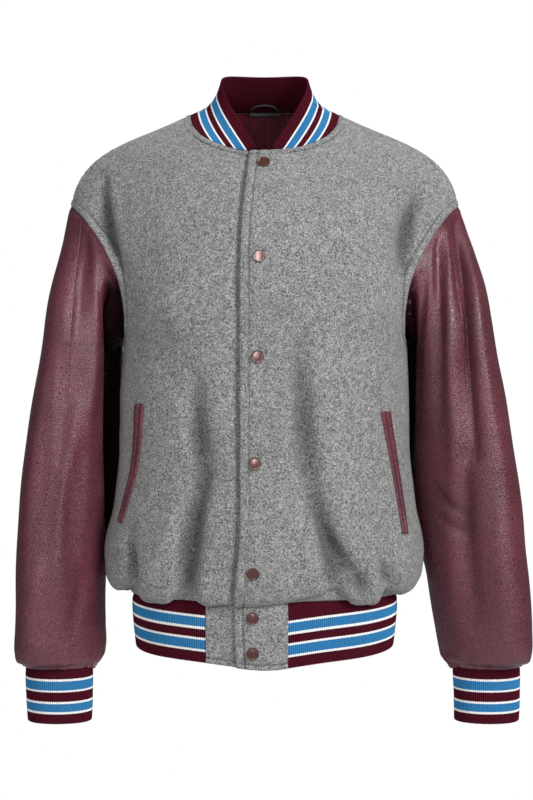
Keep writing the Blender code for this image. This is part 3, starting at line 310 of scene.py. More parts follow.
# Gathers where the leather is drawn in to the cuff: turn in degrees, half width in degrees, depth, reach up
GATHER_ROW = ("turn", "width", "depth", "reach")
GATHERS = {
    "left": ((128, 5, 6.2, 26), (146, 4, 4.4, 18), (108, 10, 1.9, 34), (84, 11, 1.5, 25), (60, 10, 1.9, 39),
             (34, 10, 2.2, 30), (8, 11, 2.2, 34), (170, 10, 2.6, 30), (196, 10, 2.2, 34), (222, 11, 2.6, 30),
             (248, 10, 2.2, 37), (274, 11, 2.6, 32), (302, 10, 2.2, 39), (332, 10, 2.2, 32)),
    "right": ((124, 5, 6.2, 24), (140, 4, 5.6, 20), (104, 10, 1.9, 32), (80, 11, 1.5, 28), (56, 10, 1.9, 37),
              (30, 10, 2.2, 32), (4, 11, 2.2, 32), (162, 10, 2.6, 32), (190, 10, 2.2, 34), (218, 11, 2.6, 30),
              (244, 10, 2.2, 37), (270, 11, 2.6, 32), (300, 10, 2.2, 39), (330, 10, 2.2, 32)),
}
# Cloth that bags over the hem, at knots along world x: x, swell outwards, drop downwards
HANG = {
    "front": ((-210, 0, -3), (-184, 4.5, -3), (-168, 0, -6), (-161, -1.5, -7), (-152, 4, -2), (-130, 7, 1),
              (-108, 4, -1), (-98, -2, -8), (-91, 1, -3), (-72, 4.5, 4), (-46, 1, 6), (-36, 0, 6), (20, 0, 1),
              (62, 1, -6), (80, -1, -9), (88, 0, -7), (104, 6, 2), (122, 8, 4), (138, 5, 1), (147, -1, -6),
              (156, 3, -3), (178, 5, -3), (196, 2, -4), (210, 0, -3)),
    "back": ((-210, 0, -3), (-180, 5, 0), (-150, 0, -4), (-122, 5, 1), (-96, 1, -4), (-70, 5, 2), (-30, 4, 1),
             (-8, 0, -4), (22, 5, 2), (58, 4, 0), (76, 0, -4), (98, 5, 2), (128, 4, 0), (146, 0, -5),
             (178, 5, 0), (210, 0, -3)),
}

LINING_DROP = 150.0
LINING_TOP_GAP = 5.0
LINING_CLEAR = 1.1
LINING_HALF_WIDTH = 84.0
LINING_FOLDS = 7
LINING_FOLD_DEPTH = 1.4
LINING_FOLD_TOP = 0.2
TAPE_HALF_WIDTH = 19.0
TAPE_HEIGHT = 4.0
TAPE_THICK = 0.8
TAPE_INSIDE = 4.4
TAPE_BELOW = 1.8
TAPE_POINTS = 16
LOOP_HALF_WIDTH = 17.0
LOOP_RISE = 7.0
LOOP_LEAN = 15.0
LOOP_RADIUS = 1.5
LOOP_BOW = 0.7
LOOP_CLEAR = 0.45
LOOP_TWIST = 9.0
LOOP_POINTS = 121

# Topstitching, from the seam or edge to the line
STITCH_LAP = 10.6
STITCH_NECK = 7.5
STITCH_ARMHOLE = 9.0
STITCH_HEM = 7.0

# Knit stripes, from the free edge: width and colour
COLLAR_STRIPES = ((12.4, "body"), (2.0, "line"), (8.5, "stripe"), (2.0, "line"), (7.0, "body"),
                  (2.0, "line"), (8.3, "stripe"), (2.0, "line"), (60.0, "body"))
CUFF_STRIPES = ((12.6, "body"), (2.5, "line"), (10.2, "stripe"), (2.5, "line"), (11.6, "body"),
                (2.5, "line"), (11.3, "stripe"), (2.5, "line"), (60.0, "body"))
HEM_STRIPES = ((13.5, "body"), (2.7, "line"), (11.6, "stripe"), (2.9, "line"), (10.1, "body"),
               (2.9, "line"), (11.2, "stripe"), (2.7, "line"), (60.0, "body"))


# ---------------------------------------------------------------- settings

def length(name, text, value):
    """Length property in metres."""
    return FloatProperty(name=name, description=text, default=value, min=0.0, subtype="DISTANCE",
                         unit="LENGTH")


def power(name, text, value):
    """Power property of a light."""
    return FloatProperty(name=name, description=text, default=value, unit="POWER")


def colour(name, text, value):
    """Colour property in linear values."""
    return FloatVectorProperty(name=name, description=text, default=value, size=3, min=0.0, max=1.0,
                               subtype="COLOR")


class JacketSizes(bpy.types.PropertyGroup):
    wool: length("Wool", "Thickness of the wool body", 0.0026)
    leather: length("Leather", "Thickness of the leather sleeves", 0.0020)
    knit: length("Knit", "Thickness of the folded rib knit", 0.0027)
    satin: length("Satin", "Thickness of the lining", 0.0010)
    rib_pitch: length("Rib pitch", "Distance between two knit ribs", 0.0025)
    rib_depth: length("Rib depth", "Height of the knit ribs", 0.0008)
    stitch_pitch: length("Stitch pitch", "Distance between two stitches", 0.0032)
    thread: length("Thread", "Radius of the sewing thread", 0.00030)
    snap_radius: length("Snap radius", "Radius of the snap caps", 0.0074)
    snap_height: length("Snap height", "Height of the snap caps", 0.0026)
    rows: IntProperty(name="Rows", description="Rows of points up the body", default=196, min=60, max=260)


class JacketColours(bpy.types.PropertyGroup):
    wool: colour("Wool", "Mean grey of the heather wool", (0.275, 0.277, 0.275))
    wool_dark: colour("Dark fibre", "Dark fibres of the wool", (0.072, 0.075, 0.077))
    wool_light: colour("Light fibre", "Light fibres of the wool", (0.62, 0.62, 0.60))
    leather: colour("Leather", "Sleeves and pocket welts", (0.130, 0.033, 0.047))
    body: colour("Knit body", "Ground of the rib knit", (0.074, 0.0056, 0.0150))
    stripe: colour("Knit stripe", "Wide stripes of the rib knit", (0.038, 0.225, 0.480))
    line: colour("Knit line", "Narrow stripes of the rib knit", (1.0, 1.0, 1.0))
    satin: colour("Satin", "Lining", (0.075, 0.010, 0.016))
    tape: colour("Tape", "Neck tape and hanging loop", (0.035, 0.034, 0.037))
    enamel: colour("Enamel", "Snap caps", (0.115, 0.042, 0.036))
    thread: colour("Thread", "Topstitching on the wool", (0.20, 0.20, 0.20))


class JacketStage(bpy.types.PropertyGroup):
    distance: length("Distance", "Distance from the camera to the jacket's middle", 2.2)
    eye: FloatProperty(name="Eye height", description="Height of the camera", default=-0.36, unit="LENGTH")
    lens: FloatProperty(name="Lens", description="Focal length in millimetres", default=78.57, min=20.0)
    floor: FloatProperty(name="Floor", description="Height of the floor", default=-1.45, unit="LENGTH")
    key: power("Key light", "Power of the main softbox", 88.0)
    front: power("Front light", "Power of the softbox at the camera", 32.0)
    fill: power("Fill light", "Power of the side and rear softboxes", 9.0)
    top: power("Top light", "Power of the overhead softbox", 16.0)
    ambient: FloatProperty(name="Ambient", description="Strength of the room's light", default=0.10, min=0.0)


def sizes():
    return bpy.context.scene.jacket_sizes


def colours():
    return bpy.context.scene.jacket_colours


# ---------------------------------------------------------------- curves and tables

def unit(vectors):
    """Each vector divided by its length."""
    vectors = np.asarray(vectors, float)
    return vectors / np.maximum(np.linalg.norm(vectors, axis=-1, keepdims=True), 1e-9)


def smooth(knots, values, at):
    """Cubic through values at rising knots, with the mean slope of the neighbours at each knot."""
    knots = np.asarray(knots, float)
    values = np.asarray(values, float)
    at = np.asarray(at, float)
    slopes = np.gradient(values, knots, axis=0)
    k = np.clip(np.searchsorted(knots, at, side="right") - 1, 0, len(knots) - 2)
    step = knots[k + 1] - knots[k]
    t = (at - knots[k]) / step
    extra = (1,) * (values.ndim - 1)
    t = t.reshape(t.shape + extra)
    step = step.reshape(step.shape + extra)
    first = (2 * t**3 - 3 * t**2 + 1) * values[k] + (t**3 - 2 * t**2 + t) * step * slopes[k]
    last = (3 * t**2 - 2 * t**3) * values[k + 1] + (t**3 - t**2) * step * slopes[k + 1]
    return first + last


def lookup(table, names, key, name, at):
    """A column of a table, read off smoothly at values of its key column, and held past its ends."""
    keys = np.array([row[names.index(key)] for row in table], float)
    order = np.argsort(keys)
    values = np.array([row[names.index(name)] for row in table], float)[order]
    keys = keys[order]
    return smooth(keys, values, np.clip(at, keys[0], keys[-1]))


def cubic(p0, p1, p2, p3, t):
    """Points of a cubic with those control points at t."""
    t = np.asarray(t, float)[..., None]
    return (1 - t)**3 * p0 + 3 * (1 - t)**2 * t * p1 + 3 * (1 - t) * t**2 * p2 + t**3 * p3


def ease(t):
    """Smooth step from 0 to 1: three times t squared less twice t cubed."""
    t = np.clip(t, 0.0, 1.0)
    return t * t * (3 - 2 * t)


def reach_of(points):
    """Length run along a polyline up to each of its points."""
    return np.concatenate([[0.0], np.cumsum(np.linalg.norm(np.diff(points, axis=0), axis=1))])


def along(points, shares):
    """Points at shares of a polyline's length."""
    lengths = reach_of(points)
    at = np.asarray(shares) * lengths[-1]
    return np.stack([np.interp(at, lengths, points[:, i]) for i in range(3)], -1)


def mirrored(points):
    return points * np.array([-1.0, 1.0, 1.0])


def joined(left, right):
    """One grid of both halves, with the right one mirrored; the column at the middle is the left half's."""
    return np.concatenate([(mirrored(right) if right.ndim == 3 else right)[::-1][:-1], left])


def span(z, top, top_fade, foot, foot_fade):
    """Two factors that ease to zero at the top and at the foot of a stretch of heights."""
    return ease((top - z) / top_fade), ease((z - foot) / foot_fade)


def neckline(turn):
    """Neck opening at an angle in degrees: 0 at the wearer's left shoulder, -90 in front, 90 behind.

    Two half ellipses that share their width; height follows the sine of the angle.
    """
    turn = np.radians(turn)
    ahead = np.sin(turn) < 0
    reach = np.where(ahead, NECK_FRONT_REACH, NECK_BACK_REACH)
    rise = np.where(ahead, NECK_FRONT_DROP, NECK_BACK_RISE)
    return np.stack([NECK_HALF_WIDTH * np.cos(turn), NECK_CENTRE_Y + reach * np.sin(turn),
                     rise * np.sin(turn)], -1)


def neck_normal(points):
    """Level direction away from the neck, tilted up more at the shoulders than in front."""
    flat = points - np.array([0.0, NECK_CENTRE_Y, 0.0])
    flat[..., 2] = 0.0
    share = 1 - np.abs(points[..., 0]) / NECK_HALF_WIDTH
    middle = np.where(points[..., 1] < NECK_CENTRE_Y, NECK_LEAN_FRONT, NECK_LEAN_BACK)
    normal = unit(flat)
    normal[..., 2] = NECK_LEAN_SIDE + (middle - NECK_LEAN_SIDE) * share
    return unit(normal)


def wave(points, size, seed):
    """Uneven swell between about -1 and 1: the mean of six sines in seeded directions and phases."""
    dice = np.random.RandomState(seed)
    ways = unit(dice.normal(size=(6, 3))) * (2 * math.pi / size) * dice.uniform(0.6, 1.4, (6, 1))
    phases = dice.uniform(0, 2 * math.pi, 6)
    return np.sin(points @ ways.T + phases).mean(-1) * 1.7


def lap_edge(z):
    return lookup(LAP, LAP_ROW, "z", "edge_x", z)


def lap_rise(x, z, left):
    """How far a front stands off where the two lap: out on the left, in on the right, easing sideways."""
    if left:
        return LAP_RISE * ease((UNDERLAP_REACH + LAP_FADE - x) / LAP_FADE)
    return -LAP_RISE * ease((x - (lap_edge(z) - LAP_CLEAR - LAP_FADE)) / LAP_FADE)


def lap_dip(x, z):
    """Extra sink of the under front in the shade right beside the lap's edge."""
    return LAP_DIP * np.exp(-((x - lap_edge(z) - 1.0) / LAP_DIP_WIDTH)**2)


def crease(x, z, fold):
    """Depth of one crease: a bell across its bowed line, fading along it as a half sine."""
    start = np.array([fold["x0"], fold["z0"]], float)
    line = np.array([fold["x1"], fold["z1"]], float) - start
    size = np.hypot(*line)
    run = ((x - start[0]) * line[0] + (z - start[1]) * line[1]) / size**2
    off = ((x - start[0]) * line[1] - (z - start[1]) * line[0]) / size
    share = np.clip(run, 0.0, 1.0)
    off = off - fold["bow"] * np.sin(np.pi * share)
    past = (run - share) * size
    width = fold["width"] * (1 + fold["lean"] * np.sign(off)) * (0.8 + 0.4 * share)
    fade = np.sin(np.pi * (0.12 + 0.76 * share))
    return fold["depth"] * fade * np.exp(-(off / width)**2 - (past / fold["width"])**2)


def bead(gap, radius):
    """Drop of a quarter round at an edge: the full radius at the edge and nothing one radius in."""
    inside = np.clip(1 - gap / radius, 0.0, 1.0)
    return radius * (1 - np.sqrt(1 - inside**2))


def grid_normals(grid, wrap=False):
    """Cross product of the two grid directions at each point, made length one."""
    around = np.concatenate([grid[-1:], grid, grid[:1]]) if wrap else grid
    across = np.gradient(around, axis=0)
    up = np.gradient(around, axis=1)
    normals = np.cross(across, up)
    return unit(normals[1:-1] if wrap else normals)


def outward(normals, grid, inside):
    """The same normals, turned away from the point named."""
    return normals if np.sum((grid - np.array(inside, float)) * normals) > 0 else -normals


def gap_to(points, line):
    """Distance from every point of a grid to the nearest place of a densely drawn line."""
    dense = along(line, np.linspace(0, 1, max(2, int(reach_of(line)[-1] / 1.2))))
    flat = points.reshape(-1, 3)
    found = [np.sqrt(np.maximum(((part**2).sum(1)[:, None] - 2 * part @ dense.T
                                 + (dense**2).sum(1)[None]).min(1), 0.0))
             for part in np.array_split(flat, max(1, len(flat) // 4000))]
    return np.concatenate(found).reshape(points.shape[:-1])


def seam_relief(gap, line):
    """Height beside a turned and topstitched seam: rounded edge, slight puff, then the stitch's valley."""
    puff = 0.55 * np.sin(np.pi * np.clip(gap / line, 0.0, 1.0))
    return puff - 0.95 * np.exp(-((gap - line) / 1.6)**2) - bead(gap, 1.8)


# ---------------------------------------------------------------- torso

V_SAMPLES = 1401


def row_points(rows, t):
    """Cubic of each row at t; beyond the centre line, where t is below zero, x is mirrored."""
    points = cubic(rows[..., 0:3], rows[..., 0:3] + rows[..., 3:6], rows[..., 6:9] + rows[..., 9:12],
                   rows[..., 6:9], np.abs(t))
    points[..., 0] *= np.where(t < 0, -1.0, 1.0)
    return points


def torso_rows(rows):
    """Row parameters at many even heights, and the t where each row meets the neckline or the centre line.

    Above the neck's lowest point, the row's first point is moved so that the row passes through the neckline.
    """
    v = np.linspace(0, 1, V_SAMPLES)
    table = np.array(rows, float)
    found = smooth(table[:, 0], table[:, 1:], v)
    below = table[:-2]
    found[:, 0:3] = smooth(below[:, 0], below[:, 1:4], np.minimum(v, V_NECK))
    start = np.zeros(len(v))
    above = v > V_NECK
    turn = 90.0 * (1 - (v[above] - V_NECK) / (1 - V_NECK)) * (1 if rows is BACK_ROWS else -1)
    neck = neckline(turn)
    upper = found[above]
    upper[:, 0:3] = 0.0
    dense = np.linspace(0, 0.8, 801)
    across = row_points(upper[:, None], dense[None, :] * np.ones((len(upper), 1)))[..., 0]
    start[above] = [np.interp(x, row, dense) for x, row in zip(neck[:, 0], across)]
    t = start[above]
    share = (1 - t)**2 * (1 + 2 * t)
    upper[:, 1:3] = (neck - row_points(upper, t))[:, 1:3] / share[:, None]
    found[above] = upper
    return found, start


def surface(table, t, v):
    """Points of the torso surface: row parameters blended between the two nearest heights."""
    at = np.clip(v, 0.0, 1.0) * (V_SAMPLES - 1)
    k = np.minimum(at.astype(int), V_SAMPLES - 2)
    f = (at - k)[..., None]
    return row_points(table[k] * (1 - f) + table[k + 1] * f, t)


EDGE_STEPS = np.array([0.0, 0.4, 0.9, 1.6, 2.5, 3.6, 5.0])
NECK_FROM, NECK_TO = 0.055, 0.47


def spread(count, width):
    """Shares of a width from 0 to 1: even ones, with a few more close to each end."""
    near = EDGE_STEPS / width
    return np.concatenate([near, np.linspace(near[-1], 1 - near[-1], count)[1:-1], 1 - near[::-1]])


def body_grid(rows, edge_of, count, height_rows):
    """Half panel: columns from the lap or centre out to the side, rows from the waist to the top edge.

    Each column runs up to its own place on the top edge, which follows the neckline and then the shoulder
    seam, so the rows fan out between the two.
    """
    table, start = torso_rows(rows)
    v_all = np.linspace(0, 1, V_SAMPLES)
    picks = np.unique(np.linspace(0, int(V_NECK * (V_SAMPLES - 1)), 160).astype(int))
    edge = np.zeros(len(picks))
    if edge_of is not None:
        dense = np.linspace(-0.5, 1.0, 601)
        for n, k in enumerate(picks):
            edge[n] = np.interp(edge_of(table[k, 2]), row_points(table[k], dense)[:, 0], dense)
    u = spread(count, BODY_WIDTH)
    neck_from = NECK_FROM if edge_of is not None else 0.0
    rise = np.clip((u - neck_from) / (NECK_TO - neck_from), 0.0, 1.0)
    v_top = V_NECK + (1 - V_NECK) * rise
    past = np.clip((u - NECK_TO) / (1 - NECK_TO), 0.0, 1.0)
    t_neck = np.interp(v_top, v_all, start)
    t_top = t_neck + (1 - t_neck) * past
    if edge_of is not None:
        t_top = np.where(u < neck_from, edge[-1] * (1 - u / neck_from), t_top)
    low = np.array([0, 0.5, 1.2, 2.2, 3.4, 4.8, 6.4, 8.2, 10.2, 12.5, 15, 18, 21.5, 25.5, 30, 35, 40.5]) / 560
    high = 1 - np.array([11, 9, 7.2, 5.6, 4.2, 3.0, 2.0, 1.2, 0.6, 0.0]) / 560
    w = np.unique(np.concatenate([low, np.linspace(low[-1], high[0], height_rows)[1:-1], high, [V_UNDERARM]]))
    v = w[None, :] * v_top[:, None]
    s_top = (t_top - edge[-1]) / (1 - edge[-1])
    s = u[:, None] + (s_top - u)[:, None] * w[None, :]**2
    e = np.interp(v, v_all[picks], edge)
    t = e + (1 - e) * s
    return surface(table, t, v), u, w


def side_edge(rows, v):
    """Side seam and armhole edge of a torso surface."""
    table = torso_rows(rows)[0]
    return surface(table, np.ones(len(v)), v)


# A finished panel: outer points, normals, inner points, distance from a stitch line, seam distances and
# painted shade
Panel = namedtuple("Panel", "grid normals inner stitch lines")


def shared_normals(normals, grid, gaps):
    """Normals blended, near each seam, into the ones that the two pieces share there."""
    out = normals
    width, front = BAND[0][1], BAND[0][2]
    band = unit(grid * np.array([1 / width**2, 1 / front**2, 0.0]))
    band[..., 2] = SEAM_DIP
    shared = {"armhole": unit(grid - np.array(ARMHOLE_MIDDLE)), "neck": neck_normal(grid.copy()),
              "waist": unit(band)}
    for name, seam in shared.items():
        share = ease(1 - gaps[name] / 12.0)[..., None]
        out = unit(out * (1 - share) + seam * share)
    return out


def hang(grid, gap, side_gap, table):
    """Swell outwards and downwards of the cloth that bags over the hem, smooth through its knots."""
    rows = np.array(table, float)
    shape = smooth(rows[:, 0], rows[:, 1:], np.clip(grid[..., 0], rows[0, 0], rows[-1, 0] - 1e-6).ravel())
    shape = shape.reshape(grid.shape[:-1] + (2,))
    shape = rows[0, 1:] + (shape - rows[0, 1:]) * ease(side_gap / 22.0)[..., None]
    swell = shape[..., 0] * ease(gap / 10.0) * (1 - ease((gap - 14.0) / 62.0))
    drop = shape[..., 1] * ease(gap / 5.0) * (1 - ease((gap - 10.0) / 30.0))
    return swell, drop


def finish_panel(grid, sign, folds, hang_table, thick, lap=None, seed=1):
    """Panel from its plain grid: creases, swells, laps, seams and stitch valleys, then its inner face."""
    right = grid[-1]
    split = int(np.argmin(np.abs(right[:, 2] - side_edge(FRONT_ROWS, np.array([V_UNDERARM]))[0, 2])))
    neck_columns = np.flatnonzero(np.linalg.norm(grid[:, -1] * [1, 0, 0], axis=1) <= NECK_HALF_WIDTH + 0.5)
    gaps = {
        "armhole": gap_to(grid, right[split:]),
        "side": gap_to(grid, right[:split + 1]),
        "waist": gap_to(grid, grid[:, 0]),
        "neck": gap_to(grid, grid[:neck_columns[-1] + 1, -1]),
        "shoulder": gap_to(grid, grid[neck_columns[-1]:, -1]),
    }
    normals = outward(grid_normals(grid), grid, BODY_MIDDLE)
    x = grid[..., 0] * sign
    z = grid[..., 2]
    mask = ease(gaps["armhole"] / 11) * ease(gaps["side"] / 16) * ease(gaps["waist"] / 7)
    mask *= ease(gaps["neck"] / 40) * ease(gaps["shoulder"] / 14)
    depth = sum(crease(x, z, dict(zip(FOLD_ROW, row))) for row in folds)
    world = grid * np.array([sign, 1.0, 1.0])
    uneven = 1.3 * wave(world, 150.0, seed) + 0.55 * wave(world, 52.0, seed + 7)
    swell, drop = hang(world, gaps["waist"], gaps["side"], hang_table)
    height = (uneven - depth) * mask + swell
    relief = np.zeros(grid.shape[:-1])
    stitch = np.full(grid.shape[:-1], NO_STITCH)
    for name, line in (("armhole", STITCH_ARMHOLE), ("neck", STITCH_NECK)):
        relief += seam_relief(gaps[name], line)
        stitch = np.minimum(stitch, np.abs(gaps[name] - line))
    for name in ("side", "shoulder", "waist"):
        relief -= bead(gaps[name], 1.5)
    if lap is not None:
        edge_gap = gap_to(grid, grid[0])
        if lap == "left":
            relief += seam_relief(edge_gap, STITCH_LAP)
            stitch = np.minimum(stitch, np.abs(edge_gap - STITCH_LAP))
        gaps["lap"] = edge_gap
        height = height + lap_rise(x, z, lap == "left")
        if lap == "right":
            height = height - lap_dip(x, z) * ease(gaps["neck"] / 20) * ease(gaps["waist"] / 20)
    # Painted shade for the wool's colour: the deeper the crease, the darker
    gaps["shade"] = np.clip(depth / 14.0, 0.0, 1.0) * mask
    outer = grid + normals * (height + relief)[..., None]
    outer[..., 2] -= drop
    wall = outward(grid_normals(grid + normals * height[..., None]), grid, BODY_MIDDLE)
    wall = shared_normals(wall, grid, gaps)
    inner = grid + normals * height[..., None] - wall * thick
    inner[..., 2] -= drop
    fine = outward(grid_normals(outer), grid, BODY_MIDDLE)
    return Panel(outer, fine, inner, stitch, gaps)


CACHE = {}


def front(side, settings):
    """The finished front of one side, in the wearer's left half; the right one's mesh is mirrored."""
    key = ("front", side)
    if key not in CACHE:
        left = side == "left"
        edge_of = lap_edge if left else (lambda z: np.full(np.shape(z), -UNDERLAP_REACH))
        grid = body_grid(FRONT_ROWS, edge_of, 104, settings.rows)[0]
        CACHE[key] = finish_panel(grid, 1 if left else -1, front_folds(side), HANG["front"],
                                  settings.wool / MM, side, 3 if left else 5)
    return CACHE[key]


def front_folds(side):
    """Creases of a front, in world x for the sign that finish_panel uses."""
    sign = 1 if side == "left" else -1
    names = [FOLD_ROW.index("x0"), FOLD_ROW.index("x1")]
    return [tuple(value * sign if n in names else value for n, value in enumerate(row))
            for row in FOLDS["front_" + side]]


def back_half(sign, settings):
    """One half of the back, in the wearer's left half."""
    key = ("back", sign)
    if key not in CACHE:
        grid, u, w = body_grid(BACK_ROWS, None, 100, settings.rows)
        low = w <= V_UNDERARM + 1e-6
        miss = side_edge(FRONT_ROWS, w[low]) - grid[-1, low]
        grid[:, low] += miss[None] * (u**4)[:, None, None]
        CACHE[key] = finish_panel(grid, sign, FOLDS["back"], HANG["back"], settings.wool / MM, None, 11)
    return CACHE[key]


def place_on(panel, x, z):
    """Points and normals of a panel at places seen from the front: the nearest grid point, moved along the
    panel's two directions by what is still missing in x and z."""
    grid = panel.grid
    targets = np.stack([np.asarray(x, float), np.asarray(z, float)], -1)
    flat = grid[..., [0, 2]].reshape(-1, 2)
    nearest = ((flat[None] - targets[:, None])**2).sum(-1).argmin(1)
    i, k = np.unravel_index(nearest, grid.shape[:2])
    i = np.clip(i, 1, grid.shape[0] - 2)
    k = np.clip(k, 1, grid.shape[1] - 2)
    du = (grid[i + 1, k] - grid[i - 1, k]) / 2
    dv = (grid[i, k + 1] - grid[i, k - 1]) / 2
    off = targets - grid[i, k][:, [0, 2]]
    area = du[:, 0] * dv[:, 2] - du[:, 2] * dv[:, 0]
    a = (off[:, 0] * dv[:, 2] - off[:, 1] * dv[:, 0]) / area
    b = (du[:, 0] * off[:, 1] - du[:, 2] * off[:, 0]) / area
    return grid[i, k] + a[:, None] * du + b[:, None] * dv, panel.normals[i, k]


# ---------------------------------------------------------------- sleeves

def armhole_loop():
    """Armhole seam from the shoulder tip down the front and up the back, with the turn of each point."""
    down = side_edge(FRONT_ROWS, np.linspace(1.0, V_UNDERARM, 300))
    up = side_edge(BACK_ROWS, np.linspace(V_UNDERARM, 1.0, 300))
    loop = np.vstack([down, up[1:]])
    reach = reach_of(loop)
    turns = np.interp(reach, (0.0, reach[299], reach[-1]), (0.0, math.pi, 2 * math.pi))
    v = np.concatenate([np.linspace(1.0, V_UNDERARM, 300), np.linspace(V_UNDERARM, 1.0, 300)[1:]])
    return loop, turns, v


def sleeve_ring(values, turns):
    """Oval with squared shoulders: cosine and sine raised to a power below one, sheared back and tilted."""
    out, inside, ahead, behind, z, tilt = values
    power = 2 / SLEEVE_SQUARE
    c, s = np.cos(turns), np.sin(turns)
    across = (out - inside) / 2 * np.sign(c) * np.abs(c)**power
    depth = (behind - ahead) / 2 * np.sign(s) * np.abs(s)**power
    return np.stack([(out + inside) / 2 + across, (ahead + behind) / 2 - depth - SLEEVE_SKEW * across,
                     z + across * math.tan(math.radians(tilt))], -1)


def cuff_ring(side, z, width, depth, turns):
    """Oval of the cuff at one height."""
    x, y = CUFF_CENTRE[side]
    return np.stack([x + width * np.cos(turns), y - depth * np.sin(turns), np.full(len(turns), float(z))], -1)


def sleeve_grid(side, turns, seam_turn, back_turn):
    """Sleeve tube through its rings, from the armhole to the cuff seam, and the run down each column."""
    loop, loop_turns, _ = armhole_loop()
    rings = [np.stack([np.interp(turns, loop_turns, loop[:, i]) for i in range(3)], -1)]

    def drawn(seam):
        return np.interp(turns, (0.0, seam_turn, back_turn, 2 * math.pi),
                         (0.0, math.radians(seam), back_turn, 2 * math.pi))

    for row in SLEEVE:
        values = dict(zip(SLEEVE_ROW, row))
        names = (side + "_out", side + "_in", "front", "back", "z", "tilt")
        rings.append(sleeve_ring([values[name] for name in names], drawn(values["seam"])))
    seam = cuff_ring(side, *CUFF[0], drawn(SLEEVE[-1][-1]))
    last = rings[-1]
    for low, share in BLOUSE:
        ring = last + (seam - last) * share
        ring[:, 2] = CUFF[0][0] + low
        rings.append(ring)
    rings.append(seam)
    rings = np.array(rings)
    knots = np.concatenate([[0.0], np.cumsum(np.linalg.norm(np.diff(rings, axis=0), axis=2).mean(1))])
    body = knots[len(SLEEVE)]
    at = np.concatenate([EDGE_STEPS, np.linspace(5.0, body, 190)[1:], np.linspace(body, knots[-1], 26)[1:]])
    return smooth(knots, rings, at).transpose(1, 0, 2)


